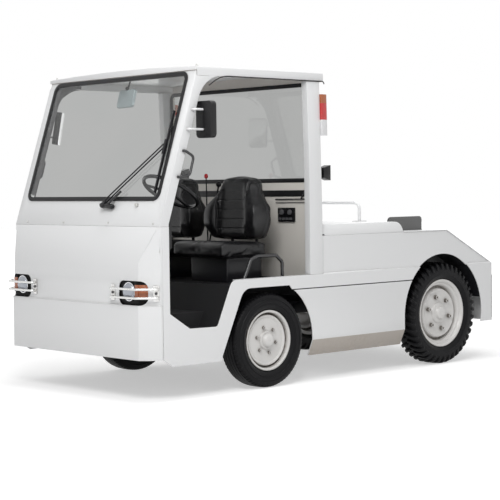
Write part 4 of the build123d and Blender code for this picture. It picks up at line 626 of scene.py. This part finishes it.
def glass_of(name, tint):
    """Clear glass with a thin uneven film, which lets most lamp light through."""
    material = bpy.data.materials.new(name)
    material.use_nodes = True
    tree = material.node_tree
    shader = tree.nodes["Principled BSDF"]
    shader.inputs["Metallic"].default_value = 0.0
    shader.inputs["Transmission Weight"].default_value = 1.0
    shader.inputs["IOR"].default_value = 1.45
    place = object_place(tree)
    film = ranged(tree, noise(tree, place, 2.2, 3), 0.3, 0.7)
    mix = tree.nodes.new("ShaderNodeMix")
    mix.data_type = "RGBA"
    mix.inputs[6].default_value = (*tint, 1)
    mix.inputs[7].default_value = (tint[0] * 0.96, tint[1] * 0.97, tint[2] * 0.97, 1)
    tree.links.new(film, mix.inputs[0])
    tree.links.new(mix.outputs[2], shader.inputs["Base Color"])
    tree.links.new(ranged(tree, film, 0, 1, 0, GLASS_FILM), shader.inputs["Roughness"])
    path = tree.nodes.new("ShaderNodeLightPath")
    let_in = math_node(tree, "MULTIPLY", path.outputs["Is Shadow Ray"], SHADOW_LIGHT)
    tree.links.new(math_node(tree, "SUBTRACT", 1.0, let_in), shader.inputs["Alpha"])
    return material


tinted_glass = glass_of("tinted_glass", (0.86, 0.865, 0.855))


def wear_finish(piece, material):
    piece.data.materials.clear()
    piece.data.materials.append(material)
    return piece


def finished(piece, name, body, material, slot, *nodes):
    """Names a piece, gives it its finish and lets it ride and replace."""
    piece.name = name
    piece.data.name = name
    wear_finish(piece, material)
    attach(piece, body)
    if nodes:
        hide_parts(*nodes)
    return piece


def paint_faces(piece, material, chosen):
    """Gives a second finish to the faces that the test picks by middle and normal."""
    piece.data.materials.append(material)
    last = len(piece.data.materials) - 1
    for face in piece.data.polygons:
        if chosen(face.center, face.normal):
            face.material_index = last
    return piece


def select_faces(piece, chosen):
    """Edit mode with only the faces selected that the test picks."""
    activate(piece)
    bpy.ops.object.mode_set(mode="EDIT")
    bpy.ops.mesh.select_mode(type="FACE")
    bpy.ops.mesh.select_all(action="DESELECT")
    bpy.ops.object.mode_set(mode="OBJECT")
    for face in piece.data.polygons:
        face.select = bool(chosen(face.center, face.normal))
    bpy.ops.object.mode_set(mode="EDIT")


def cut_at(piece, place, normal):
    """Edges across all faces where a plane crosses them."""
    edit(piece)
    bpy.ops.mesh.bisect(plane_co=place, plane_no=normal)
    return done()


BODY_OF = {}
for body_name, node_names in frame["record"]["behaviour"]["bodies"].items():
    for node_name in node_names:
        BODY_OF[node_name] = body_name
SLOT_OF = {row["node"]: row["material_slot"] for row in frame["record"]["subparts"]}

FLAT_DEGREES = 0.6


def formed(node, width, material, segments=2):
    """A CAD node's merged copy with rounded edges, in its place."""
    source = frame["nodes"][node]
    piece = bpy.data.objects.new(node + "_formed", source.data.copy())
    bpy.context.scene.collection.objects.link(piece)
    edit(piece)
    bpy.ops.mesh.remove_doubles(threshold=MERGE_GAP)
    bpy.ops.mesh.dissolve_limited(angle_limit=radians(FLAT_DEGREES))
    done()
    round_edges(piece, width, segments)
    smooth(piece)
    return finished(piece, node + "_formed", BODY_OF[node], material, SLOT_OF[node], node)


# Sheet metal with rounded edges
PANELS = (
    ("front_bumper", 0.003, white_enamel, 3),
    ("front_panel", 0.0015, white_enamel, 2),
    ("cab_front_frame", 0.004, white_enamel, 3),
    ("roof_panel", 0.0015, white_enamel, 2),
    ("side_panel_left", 0.002, white_enamel, 2),
    ("side_panel_right", 0.002, white_enamel, 2),
    ("side_skirts", 0.002, white_enamel, 2),
    ("rear_deck", 0.0006, white_enamel, 1),
    ("rear_wall", 0.003, cab_enamel, 3),
    ("engine_hood", 0.0015, white_enamel, 2),
    ("cab_floor", 0.002, floor_mat, 2),
    ("dash_panel", 0.002, grained_plastic, 2),
    ("tow_coupling", 0.002, black_enamel, 2),
    ("deck_stops", 0.001, black_enamel, 2),
    ("tail_buffers", 0.003, seal_rubber, 3),
    ("glass_seals", 0.0025, seal_rubber, 3),
    ("steering_column", 0.002, grained_plastic, 2),
    ("engine_block", 0.006, forging, 2),
    ("front_axle", 0.002, forging, 2),
    ("rear_axle", 0.003, forging, 2),
    ("knuckle_left", 0.002, forging, 2),
    ("knuckle_right", 0.002, forging, 2),
    ("chassis_frame", 0.002, black_enamel, 2),
    ("wheel_liners", 0.001, black_enamel, 2),
    ("seat_boxes", 0.003, black_enamel, 2),
)
panel = {}
for node, width, material, segments in PANELS:
    panel[node] = formed(node, width, material, segments)

paint_faces(
    panel["rear_wall"], white_enamel, lambda place, normal: abs(place.x) > 0.6795 or normal.y > 0.5
)
paint_faces(
    panel["cab_front_frame"],
    inner_trim,
    lambda place, normal: (normal.y > 0.3 and abs(place.x) < 0.71)
    or (place.z > 1.2 and abs(place.x) < 0.69 and abs(normal.y) < 0.5),
)
paint_faces(
    panel["roof_panel"],
    ceiling_board,
    lambda place, normal: place.z < 1.9425 and (abs(place.x) < 0.7255 or normal.z < -0.5),
)
paint_faces(
    panel["deck_stops"], stop_grey, lambda place, normal: abs(normal.x) > 0.9 and abs(normal.y) < 0.3
)
# The skirts' downward-facing lower fold is painted darker brown, as dust and as painted shade.
paint_faces(
    panel["side_skirts"], dust_and_shade_enamel, lambda place, normal: place.z < 0.36 and normal.z < -0.2
)

# The narrow neck at the tail's corner is cut off, and flat sides stay flat to the light
TAIL_NECK = 1.500
for node in ("side_panel_left", "side_panel_right"):
    cut_at(panel[node], (0, TAIL_NECK, 0), (0, 1, 0))
for node in ("side_panel_left", "side_panel_right", "rear_deck"):
    select_faces(panel[node], lambda place, normal: abs(normal.x) > 0.999)
    bpy.ops.mesh.faces_shade_flat()
    done()

# CAD nodes whose shape is right as it is
KEPT = (
    ("cab_glass", tinted_glass),
    ("hood_hoop", white_enamel),
    ("tie_rod", forging),
    ("tow_pin", zinc),
    ("steering_wheel", smooth_plastic),
    ("hand_rails", rail_paint),
    ("lamp_guards", guard_steel),
)
for node, material in KEPT:
    smooth(wear_finish(frame["nodes"][node], material))


# Wheels
def wheel_nut(size, height):
    """A hexagon nut with its stud, standing on X = 0 and pointing along X."""
    bpy.ops.mesh.primitive_cylinder_add(
        radius=size, depth=height, vertices=6, location=(height / 2, 0, 0), rotation=(0, pi / 2, 0)
    )
    nut = settle(bpy.context.object)
    select_faces(nut, lambda place, normal: normal.x > 0.9)
    bpy.ops.mesh.bevel(offset=size * 0.16, segments=2, affect="EDGES")
    done()
    select_faces(nut, lambda place, normal: normal.x > 0.95)
    bpy.ops.mesh.inset(thickness=size * 0.28, depth=0)
    bpy.ops.mesh.extrude_region_move(TRANSFORM_OT_translate={"value": (height * 0.55, 0, 0)})
    return smooth(done(), 35)


def copy_at(piece, place, turn):
    activate(piece)
    bpy.ops.object.duplicate()
    other = bpy.context.object
    other.rotation_euler = turn
    other.location = place
    return settle(other)


# distance out from the wheel's middle plane, radius
FRONT_RIM = (
    (0.0620, 0.1870), (0.0635, 0.1800), (0.0605, 0.1745), (0.0530, 0.1715), (0.0300, 0.1690),
    (0.0080, 0.1680), (0.0060, 0.1640), (0.0120, 0.1600), (0.0360, 0.1590), (0.0425, 0.1560),
    (0.0450, 0.1500), (0.0430, 0.1430), (0.0375, 0.1370), (0.0365, 0.1150), (0.0372, 0.0600),
    (0.0400, 0.0580), (0.0470, 0.0560), (0.0500, 0.0530), (0.0505, 0.0490), (0.0500, 0.0440),
    (0.0660, 0.0400), (0.0740, 0.0320), (0.0775, 0.0190), (0.0780, 0.0010), (0.0500, 0.0010),
    (0.0500, 0.0251), (-0.0400, 0.0251), (-0.0400, 0.0700), (0.0270, 0.0700), (0.0280, 0.1200),
    (0.0300, 0.1400), (0.0260, 0.1500), (0.0000, 0.1540), (-0.0020, 0.1640), (-0.0620, 0.1640),
    (-0.0620, 0.1870), (-0.0540, 0.1870), (-0.0540, 0.1720), (0.0540, 0.1720), (0.0540, 0.1870),
)
REAR_RIM = (
    (0.0670, 0.2330), (0.0685, 0.2260), (0.0660, 0.2195), (0.0600, 0.2150), (0.0540, 0.2125),
    (0.0480, 0.2080), (0.0465, 0.2010), (0.0410, 0.1960), (0.0300, 0.1910), (-0.0020, 0.1890),
    (-0.0080, 0.1840), (-0.0040, 0.1740), (0.0260, 0.1700), (0.0360, 0.1660), (0.0400, 0.1600),
    (0.0380, 0.1530), (0.0335, 0.1450), (0.0325, 0.1200), (0.0330, 0.0780), (0.0350, 0.0730),
    (0.0420, 0.0690), (0.0470, 0.0640), (0.0480, 0.0560), (0.0500, 0.0460), (0.0580, 0.0430),
    (0.0660, 0.0380), (0.0700, 0.0250), (0.0705, 0.0010), (0.0300, 0.0010), (0.0300, 0.0301),
    (-0.0600, 0.0301), (-0.0600, 0.0820), (0.0220, 0.0820), (0.0225, 0.1200), (0.0260, 0.1460),
    (0.0160, 0.1580), (-0.0140, 0.1640), (-0.0180, 0.1860), (0.0120, 0.1980), (0.0140, 0.2080),
    (-0.0670, 0.2080), (-0.0670, 0.2330), (-0.0590, 0.2330), (-0.0590, 0.2160), (0.0590, 0.2160),
    (0.0590, 0.2330),
)
FRONT_TYRE = (
    (0.0537, 0.1723), (0.0545, 0.1850), (0.0565, 0.1895), (0.0625, 0.1945), (0.0685, 0.2010),
    (0.0740, 0.2110), (0.0764, 0.2205), (0.0798, 0.2222), (0.0798, 0.2250), (0.0768, 0.2270),
    (0.0780, 0.2380), (0.0768, 0.2510), (0.0798, 0.2530), (0.0798, 0.2560), (0.0760, 0.2590),
    (0.0745, 0.2680), (0.0700, 0.2775), (0.0640, 0.2845), (0.0560, 0.2885), (0.0500, 0.2897),
    (0.0496, 0.2830), (0.0456, 0.2830), (0.0452, 0.2905), (0.0270, 0.2916), (0.0266, 0.2845),
    (0.0226, 0.2845), (0.0222, 0.2917), (0.0022, 0.2920), (0.0018, 0.2850),
)
FRONT_HUB = (0.645, at(0.0), 0.292)
REAR_HUB = (0.640, at(WHEELBASE), 0.350)
NUTS = 6
RIM_STEPS = 96
FRONT_STEPS = 144


def wheel_pair(left, right, name, end, material, slot, node):
    """Names both sides' pieces and lets each ride its wheel in place of its CAD node."""
    for piece, side in ((left, "left"), (right, "right")):
        finished(
            piece, f"{name}_{side}", f"wheel_{end}_{side}", material, slot, f"{node}_{end}_{side}"
        )


# end, hub, rim rows, nut circle, nut seat, first nut, nut size, nut height
WHEELS = (
    ("front", FRONT_HUB, FRONT_RIM, 0.082, 0.0365, -14, 0.0105, 0.013),
    ("rear", REAR_HUB, REAR_RIM, 0.112, 0.0325, -15, 0.0145, 0.021),
)
for end, hub, rows, circle, seat, first_turn, size, nut_height in WHEELS:
    parts = [turned_form(rows, hub, RIM_STEPS)]
    nut = wheel_nut(size, nut_height)
    turns = [radians(first_turn + 360 / NUTS * step) for step in range(NUTS)]
    spots = [(hub[1] + circle * cos(turn), hub[2] + circle * sin(turn)) for turn in turns]
    base = hub[0] + seat
    for turn, spot in zip(turns, spots):
        parts.append(copy_at(nut, (base, *spot), (turn, 0, 0)))
    bpy.data.objects.remove(nut)
    rim = joined(parts)
    round_edges(rim, 0.0008, 2, 50)
    smooth(rim, 38)
    other_rim = smooth(mirrored(rim), 38)
    wheel_pair(rim, other_rim, f"{end}_wheel", end, wheel_enamel, "wheel_paint", "rim")

    def nut_side(place, normal):
        """Whether a face is the side of a nut or stud."""
        far = abs(place.x) > base + 0.0005 and abs(normal.x) < 0.6
        return far and min(hypot(place.y - y, place.z - z) for y, z in spots) < size * 1.04

    # The sides of the nuts and studs take the dark finish as painted shade.
    for piece in (rim, other_rim):
        paint_faces(piece, nut_side_shade, nut_side)


def both_ways(rows):
    """Rows from one bead over the tread to the other bead."""
    return list(rows) + [(-out, radius) for out, radius in rows[::-1]]


front_tyre = turned_form(both_ways(FRONT_TYRE), FRONT_HUB, FRONT_STEPS)


def shoulder_step(place, normal):
    """Every other face across the tread's shoulders, for the sipes."""
    radius = hypot(place.y - FRONT_HUB[1], place.z - FRONT_HUB[2])
    turn = atan2(place.z - FRONT_HUB[2], place.y - FRONT_HUB[1]) / (2 * pi) * FRONT_STEPS
    out = abs(place.x - FRONT_HUB[0])
    return 0.2740 < radius and 0.0500 < out < 0.0740 and int(turn + 200.25) % 2 == 0


select_faces(front_tyre, shoulder_step)
bpy.ops.mesh.extrude_region_shrink_fatten(TRANSFORM_OT_shrink_fatten={"value": -0.0035})
smooth(done(), 30)
other_tyre = smooth(mirrored(front_tyre), 30)
wheel_pair(front_tyre, other_tyre, "front_road_tyre", "front", tyre_rubber, "tyre", "tyre")

# distance out, radius of the rear carcass
REAR_TYRE = (
    (0.0592, 0.2165), (0.0600, 0.2320), (0.0640, 0.2360), (0.0720, 0.2430), (0.0795, 0.2540),
    (0.0830, 0.2650), (0.0850, 0.2665), (0.0850, 0.2700), (0.0836, 0.2715), (0.0845, 0.2850),
    (0.0835, 0.2990), (0.0800, 0.3130), (0.0740, 0.3230), (0.0640, 0.3290), (0.0400, 0.3330),
    (0.0100, 0.3340),
)
# one lug from the tread's middle down the shoulder: out, along, top, half width, base out, base
LUG = (
    (0.006, 0.032, 0.3500, 0.0085, 0.006, 0.331),
    (0.034, 0.018, 0.3497, 0.0095, 0.034, 0.330),
    (0.062, 0.003, 0.3480, 0.0105, 0.060, 0.326),
    (0.079, -0.006, 0.3390, 0.0110, 0.072, 0.320),
    (0.0868, -0.010, 0.3220, 0.0110, 0.078, 0.310),
    (0.0868, -0.011, 0.3020, 0.0090, 0.082, 0.298),
)
LUGS = 40
FOOT_SHARE = 1.2
TREAD_RADIUS = 0.35
sections = []
for out, along, top, half, base_out, base in LUG:
    corners = []
    foot = half * FOOT_SHARE
    for step, far, radius in (
        (-half, out, top), (half, out, top), (foot, base_out, base), (-foot, base_out, base)
    ):
        turn = (along + step) / TREAD_RADIUS
        corners.append((far, radius * sin(turn), radius * cos(turn)))
    sections.append(drawn_line(corners, closed=True))
lug = joined(sections)
edit(lug)
bpy.ops.mesh.delete(type="ONLY_FACE")
bpy.ops.mesh.select_all(action="SELECT")
bpy.ops.mesh.bridge_edge_loops()
bpy.ops.mesh.select_all(action="SELECT")
bpy.ops.mesh.fill_holes(sides=4)
bpy.ops.mesh.normals_make_consistent(inside=False)
done()
round_edges(lug, 0.0022, 2, 32)
ring = [copy_at(lug, (0, 0, 0), (2 * pi * step / LUGS, 0, 0)) for step in range(LUGS)]
bpy.data.objects.remove(lug)
half_ring = joined(ring)
other_half = mirrored(half_ring)
other_half.rotation_euler = (pi / LUGS, 0, 0)
settle(other_half)
carcass = turned_form(both_ways(REAR_TYRE), (0, 0, 0), RIM_STEPS)
rear_tyre = joined([carcass, half_ring, other_half])
rear_tyre.location = REAR_HUB
settle(rear_tyre)
smooth(rear_tyre, 32)
other_tyre = smooth(mirrored(rear_tyre), 32)
wheel_pair(rear_tyre, other_tyre, "rear_lug_tyre", "rear", tyre_rubber, "tyre", "tyre")


# Seats
def loose_parts(node):
    """A CAD node's solids as merged objects, the left one first."""
    source = frame["nodes"][node]
    piece = bpy.data.objects.new(node + "_pads", source.data.copy())
    bpy.context.scene.collection.objects.link(piece)
    edit(piece)
    bpy.ops.mesh.remove_doubles(threshold=MERGE_GAP)
    bpy.ops.mesh.separate(type="LOOSE")
    done()
    parts = list(bpy.context.selected_objects)
    return sorted(parts, key=lambda part: -sum(v.co.x for v in part.data.vertices))


PAD_VOXEL = 0.006
PAD_SHRINK = 0.003
PAD_PRESSURE = 3.0
PAD_SWELL = 0.009
PAD_EASE_STEPS = 44
CLOTH_FRAMES = 20


def stuffed(piece):
    """Foam and cover: remeshed, drawn in, then blown up by the cloth solver."""
    wear_finish(piece, vinyl)
    activate(piece)
    remesh = piece.modifiers.new("remesh", "REMESH")
    remesh.mode = "VOXEL"
    remesh.voxel_size = PAD_VOXEL
    apply_all(piece)
    pull = piece.modifiers.new("pull", "DISPLACE")
    pull.strength = -PAD_SHRINK
    pull.mid_level = 0
    ease = piece.modifiers.new("ease", "SMOOTH")
    ease.factor = 0.5
    ease.iterations = PAD_EASE_STEPS
    apply_all(piece)
    before = [v.co.copy() for v in piece.data.vertices]
    cloth = piece.modifiers.new("cloth", "CLOTH")
    cloth.settings.use_pressure = True
    cloth.settings.uniform_pressure_force = PAD_PRESSURE
    cloth.settings.effector_weights.gravity = 0
    cloth.settings.tension_stiffness = 60
    cloth.settings.compression_stiffness = 60
    cloth.settings.bending_stiffness = 4
    for step in range(1, CLOTH_FRAMES + 1):
        bpy.context.scene.frame_set(step)
    apply_all(piece)
    bpy.context.scene.frame_set(1)
    for vertex, start in zip(piece.data.vertices, before):
        moved = vertex.co - start
        if moved.length > PAD_SWELL:
            vertex.co = start + moved * (PAD_SWELL / moved.length)
    even = piece.modifiers.new("even", "SMOOTH")
    even.factor = 0.5
    even.iterations = 5
    apply_all(piece)
    return piece


def sewn(piece, depth_at):
    """Seams and sewn channels: each point sinks along its normal by depth_at."""
    level = piece.modifiers.new("finer", "SUBSURF")
    level.levels = 1
    level.render_levels = 1
    apply_all(piece)
    normals = [v.normal.copy() for v in piece.data.vertices]
    for vertex, normal in zip(piece.data.vertices, normals):
        sink = depth_at(vertex.co, normal)
        if sink:
            vertex.co -= normal * sink
    return smooth(piece, 70)


def groove(distance, depth, width):
    """A rounded channel's depth at a distance from its line."""
    return depth * 2.718 ** (-((distance / width) ** 2))


SEAT_X = 0.310
BACK_LEAN = 0.032 / 0.397


def back_seams(place, normal):
    across = abs(place.x - SEAT_X)
    forward = at(0.066) + (place.z - 0.905) * BACK_LEAN
    sink = 0
    if normal.y < -0.2 and across < 0.135:
        for height in (0.975, 1.035, 1.095, 1.155, 1.215):
            sink += groove(place.z - height, 0.0035, 0.0040)
    if normal.y < 0.1:
        sink += groove(across - 0.128, 0.008, 0.0055)
    sink += groove(place.y - forward - 0.075, 0.004, 0.004) if abs(normal.y) < 0.75 else 0
    return sink


def cushion_seams(place, normal):
    across = abs(place.x - SEAT_X)
    back = place.y - at(-0.238)
    sink = 0
    if normal.z > 0.2:
        if back > 0.06:
            sink += groove(across - 0.152, 0.007, 0.0055)
        if across < 0.158:
            for row in (0.115, 0.180, 0.245, 0.310):
                sink += groove(back - row, 0.0045, 0.0042)
    return sink


NARROW_FROM = 1.06
NARROW_OVER = 0.16
NARROW_BY = 0.16


def narrower_top(piece):
    """The back draws in towards its top."""
    for vertex in piece.data.vertices:
        rise = min(1, max(0, (vertex.co.z - NARROW_FROM) / NARROW_OVER))
        share = 1 - NARROW_BY * rise * rise * (3 - 2 * rise)
        vertex.co.x = SEAT_X + (vertex.co.x - SEAT_X) * share


for node, label, seams in (
    ("seat_backs", "seat_back", back_seams),
    ("seat_cushions", "seat_cushion", cushion_seams),
):
    left, right = loose_parts(node)
    bpy.data.objects.remove(right)
    stuffed(left)
    if node == "seat_backs":
        narrower_top(left)
    sewn(left, seams)
    other = smooth(mirrored(left), 70)
    pair = joined([left, other])
    finished(pair, label + "s_padded", "chassis", vinyl, "seat_cover", node)

# Lamps, mirrors, controls
LAMP_X = 0.541
LAMP_Z = 0.640
LAMP_FACE_Y = at(-0.9535)
AMBER_HEIGHTS = (0.607, 0.682)
lamps = formed("headlamps", 0.001, lamp_black)
paint_faces(
    lamps,
    lamp_face,
    lambda place, normal: hypot(abs(place.x) - LAMP_X, place.z - LAMP_Z) < 0.0535
    and place.y < at(-0.9495),
)
for height in AMBER_HEIGHTS:
    cut_at(lamps, (0, 0, height), (0, 0, 1))
paint_faces(
    lamps,
    amber_lens,
    lambda place, normal: abs(place.x) > 0.5985
    and AMBER_HEIGHTS[0] < place.z < AMBER_HEIGHTS[1]
    and place.y < at(-0.905),
)
tail = formed("tail_lamps", 0.0015, smooth_plastic)
for height in (1.760, 1.655):
    cut_at(tail, (0, 0, height), (0, 0, 1))
for material, low, high in (
    (clear_lens, 1.50, 1.655), (red_lens, 1.655, 1.760), (amber_lens, 1.760, 1.90)
):
    paint_faces(tail, material, lambda place, normal, low=low, high=high: low < place.z < high)
paint_faces(tail, clear_lens, lambda place, normal: place.z < 1.40 and normal.y > 0.8)

glasses = formed("mirrors", 0.003, grained_plastic, 3)
MIRROR_ARM_HEIGHTS = (1.577, 1.693)
paint_faces(glasses, mirror_back, lambda place, normal: abs(place.x) < 0.2 and place.z < 1.842)
for height in MIRROR_ARM_HEIGHTS:
    paint_faces(
        glasses,
        white_enamel,
        lambda place, normal, height=height: 0.72 < abs(place.x) < 0.766
        and place.y < -1.21
        and abs(place.z - height) < 0.012,
    )
paint_faces(
    glasses,
    lamp_reflector,
    lambda place, normal: normal.y > 0.6
    and place.z < 1.85
    and (abs(place.x) > 0.68 or abs(place.x) < 0.2),
)
controls = formed("driver_controls", 0.0015, smooth_plastic)
knob_middle = Vector((0.016, at(0.109), 1.310))
KNOB_REACH = 0.024
paint_faces(controls, red_knob, lambda place, normal: (place - knob_middle).length < KNOB_REACH)
select_faces(controls, lambda place, normal: (place - knob_middle).length < KNOB_REACH)
bpy.ops.transform.resize(value=(0.62, 0.62, 0.74), center_override=knob_middle)
done()
formed("wiper", 0.0008, black_enamel)


# Trim that the CAD leaves out
def both(piece, name, material, slot):
    return finished(smooth(both_sides(piece)), name, "chassis", material, slot)


def screw_head(place, along, radius=0.006, height=0.005):
    """A domed screw head."""
    head = disc(radius, height, place, along, 16)
    round_edges(head, height * 0.45, 3, 50)
    return head


COWL_FORWARD = 0.953
COWL_UP = 0.304
COWL_OUT = Vector((0, -COWL_FORWARD, COWL_UP))
COWL_FOOT_Y = -1.527
COWL_FOOT_Z = 1.014
COWL_SLOPE = 0.319
cowl_heads = []
for x, z in ((-0.210, 1.031), (0.242, 1.033), (0.668, 1.031), (-0.60, 1.031)):
    y = COWL_FOOT_Y + (z - COWL_FOOT_Z) * COWL_SLOPE
    cowl_heads.append(screw_head(Vector((x, y, z)) + COWL_OUT * 0.002, COWL_OUT, 0.0055))
finished(smooth(joined(cowl_heads)), "cowl_screws", "chassis", zinc, "steel")

jet_place = Vector((0.478, -1.4875, 1.138))
jet = joined([
    disc(0.012, 0.008, jet_place + COWL_OUT * 0.004, COWL_OUT, 24),
    disc(0.005, 0.014, jet_place + COWL_OUT * 0.012, COWL_OUT, 16),
])
round_edges(jet, 0.0012, 2, 40)
finished(smooth(jet), "washer_jet", "chassis", zinc, "steel")

tilt = atan2(COWL_UP, COWL_FORWARD)
pivot = Vector((0.212, -1.489, 1.130)) + COWL_OUT * 0.016
base = block((0.120, 0.032, 0.026), pivot, (tilt, radians(6), 0))
round_edges(base, 0.010, 4, 40)
arm_end = pivot + COWL_OUT * 0.006 + Vector((0.110, 0.0265, 0.0830))
arm = rod([pivot + COWL_OUT * 0.006, arm_end], 0.0075)
motor_cap = disc(0.017, 0.022, pivot + Vector((-0.028, 0, 0)) + COWL_OUT * 0.010, COWL_OUT, 28)
round_edges(motor_cap, 0.003, 3, 40)
finished(smooth(joined([base, arm, motor_cap])), "wiper_base", "chassis", black_enamel, "dark_paint")

STRIP_LINE = (
    (0.7318, -1.134, 1.838), (0.7318, -1.091, 1.866), (0.7318, -1.045, 1.888),
    (0.7318, -0.990, 1.896), (0.7318, -0.176, 1.896), (0.7322, -0.168, 1.880),
)
strip = rod(STRIP_LINE, 0.0034, bend=0.03)
both(strip, "drip_strips", seal_rubber, "rubber")

EYE_LINE = (
    (0.694, -1.200, 1.948), (0.694, -1.200, 1.962), (0.706, -1.200, 1.962), (0.706, -1.200, 1.948)
)
eye = joined([
    disc(0.010, 0.006, (0.700, -1.200, 1.9475), (0, 0, 1), 20),
    rod(EYE_LINE, 0.0028, bend=0.006),
])
both(eye, "roof_eyes", zinc, "steel")

LIP_LINE = ((0.7295, -1.5215, 0.5603), (0.6365, -1.6160, 0.5603), (0.0, -1.6160, 0.5603))
lip = rod(LIP_LINE, 0.0022, bend=0.004)
both(lip, "bumper_lip", white_enamel, "body_paint")

bars = joined([
    rod([(0.372, -0.2580, 1.154), (0.652, -0.2580, 1.156)], 0.0040),
    rod([(0.606, -0.2620, 1.154), (0.646, -0.2620, 1.205)], 0.0045),
    rod([(0.372, -0.2575, 1.133), (0.652, -0.2575, 1.135)], 0.0022),
])
finished(smooth(bars), "wall_bars", "chassis", black_enamel, "dark_paint")

knobs = []
for x in (0.439, 0.512):
    knob = disc(0.017, 0.012, (x, -0.270, 1.072), (0, 1, 0), 28)
    round_edges(knob, 0.003, 3, 40)
    knobs.append(knob)
    knobs.append(block((0.006, 0.010, 0.026), (x, -0.278, 1.072), (0, radians(25), 0)))
for x in (0.418, 0.452, 0.486, 0.520):
    knobs.append(block((0.020, 0.008, 0.014), (x, -0.268, 1.030)))
finished(smooth(joined(knobs)), "switch_knobs", "chassis", inner_trim, "black_plastic")

GUARD_BOLT_Z = 0.632
bolt_heads = []
for x, y, turn in ((0.398, -1.6150, 0.0), (0.7135, -1.5435, 0.72)):
    out = Vector((sin(turn), -cos(turn), 0))
    bolt_heads.append(screw_head(Vector((x, y, GUARD_BOLT_Z)) + out * 0.001, out, 0.0085, 0.008))
both(joined(bolt_heads), "guard_bolts", inner_trim, "steel")

bpy.ops.mesh.primitive_torus_add(
    major_radius=0.0525, minor_radius=0.0032, major_segments=56, minor_segments=12,
    location=(LAMP_X, LAMP_FACE_Y, LAMP_Z), rotation=(pi / 2, 0, 0),
)
bezel = settle(bpy.context.object)
bulb = disc(0.013, 0.006, (LAMP_X, LAMP_FACE_Y, LAMP_Z), (0, -1, 0), 28)
round_edges(bulb, 0.0025, 3, 40)
both(joined([bezel, bulb]), "lamp_bezels", lamp_reflector, "lamp_plastic")

EDGE_LINE = ((0.7197, 0.5960, 0.9235), (0.7197, 1.0435, 0.9235), (0.7197, 1.5190, 0.6815))
edge_fold = rod(EDGE_LINE, 0.0032, bend=0.01)
both(edge_fold, "deck_edge_folds", white_enamel, "body_paint")

SLOPE_WIDTH = 0.0104
slopes = []
for front, back in ((-0.184, 0.368), (1.272, 1.512)):
    middle = (0.7214, (front + back) / 2, 0.6790)
    slope = block((SLOPE_WIDTH, back - front, SLOPE_WIDTH), middle, (0, radians(45), 0))
    round_edges(slope, 0.0008, 2, 40)
    slopes.append(slope)
both(joined(slopes), "side_folds", white_enamel, "body_paint")

# A black rubber strip fills the seam between skirt and side panel: painted shadow in the gap.
seam_shadow_strip = block((0.0050, 1.112, 0.0058), (0.7260, 0.110, 0.5950))
round_edges(seam_shadow_strip, 0.0008, 2, 40)
both(seam_shadow_strip, "skirt_seam_shadows", seal_rubber, "rubber")


# Studio
SKY_LIGHT = 0.42
PANE_VIEW = 0.50


def seen_share(tree):
    """1 where a look goes straight or by gloss, less through glass, 0 for light."""
    path = tree.nodes.new("ShaderNodeLightPath")
    direct = math_node(tree, "MAXIMUM", path.outputs["Is Camera Ray"], path.outputs["Is Glossy Ray"])
    open_air = math_node(tree, "SUBTRACT", 1.0, path.outputs["Is Transmission Ray"])
    through = math_node(tree, "MULTIPLY", path.outputs["Is Transmission Ray"], PANE_VIEW)
    return math_node(tree, "MAXIMUM", math_node(tree, "MULTIPLY", direct, open_air), through)


GLOW_NEAR = 3.0
GLOW_FAR = 5.5


def stage_material(name, glow, diffuse):
    """A floor that takes shadows near the tug and is plain white farther out."""
    material = bpy.data.materials.new(name)
    material.use_nodes = True
    tree = material.node_tree
    tree.nodes.clear()
    soft = tree.nodes.new("ShaderNodeBsdfDiffuse")
    soft.inputs["Color"].default_value = (*diffuse, 1)
    light = tree.nodes.new("ShaderNodeEmission")
    light.inputs["Color"].default_value = (1, 1, 1, 1)
    reach = tree.nodes.new("ShaderNodeVectorMath")
    reach.operation = "LENGTH"
    tree.links.new(object_place(tree), reach.inputs[0])
    spread = ranged(tree, reach.outputs["Value"], GLOW_NEAR, GLOW_FAR, glow, 1.0)
    tree.links.new(math_node(tree, "MULTIPLY", seen_share(tree), spread), light.inputs["Strength"])
    added = tree.nodes.new("ShaderNodeAddShader")
    tree.links.new(soft.outputs[0], added.inputs[0])
    tree.links.new(light.outputs[0], added.inputs[1])
    output = tree.nodes.new("ShaderNodeOutputMaterial")
    tree.links.new(added.outputs[0], output.inputs["Surface"])
    return material


bpy.ops.mesh.primitive_plane_add(size=60, location=(0, 0, 0))
studio_floor = settle(bpy.context.object)
studio_floor.name = "studio_floor"
wear_finish(studio_floor, stage_material("studio_floor", 0.48, (0.78, 0.78, 0.78)))

world = bpy.data.worlds.new("studio")
bpy.context.scene.world = world
world.use_nodes = True
sky = world.node_tree
sky.nodes.clear()
background = sky.nodes.new("ShaderNodeBackground")
background.inputs["Color"].default_value = (1, 1, 1, 1)
sky.links.new(
    math_node(sky, "MAXIMUM", seen_share(sky), SKY_LIGHT), background.inputs["Strength"]
)
sky_output = sky.nodes.new("ShaderNodeOutputWorld")
sky.links.new(background.outputs[0], sky_output.inputs["Surface"])

# name, place, aim, size, watts
LAMPS = (
    ("key_softbox", (3.3, -4.1, 4.1), (0.2, -0.5, 1.0), 2.0, 135),
    ("side_softbox", (4.8, 0.6, 4.3), (0, 0.0, 1.3), 2.0, 12),
    ("top_softbox", (0.4, -0.3, 5.2), (0, -0.1, 0.8), 3.0, 125),
)
for name, place, aim, size, watts in LAMPS:
    lamp_data = bpy.data.lights.new(name, "AREA")
    lamp_data.size = size
    lamp_data.energy = watts
    lamp = bpy.data.objects.new(name, lamp_data)
    lamp.location = place
    lamp.rotation_euler = (Vector(aim) - Vector(place)).to_track_quat("-Z", "Y").to_euler()
    bpy.context.scene.collection.objects.link(lamp)
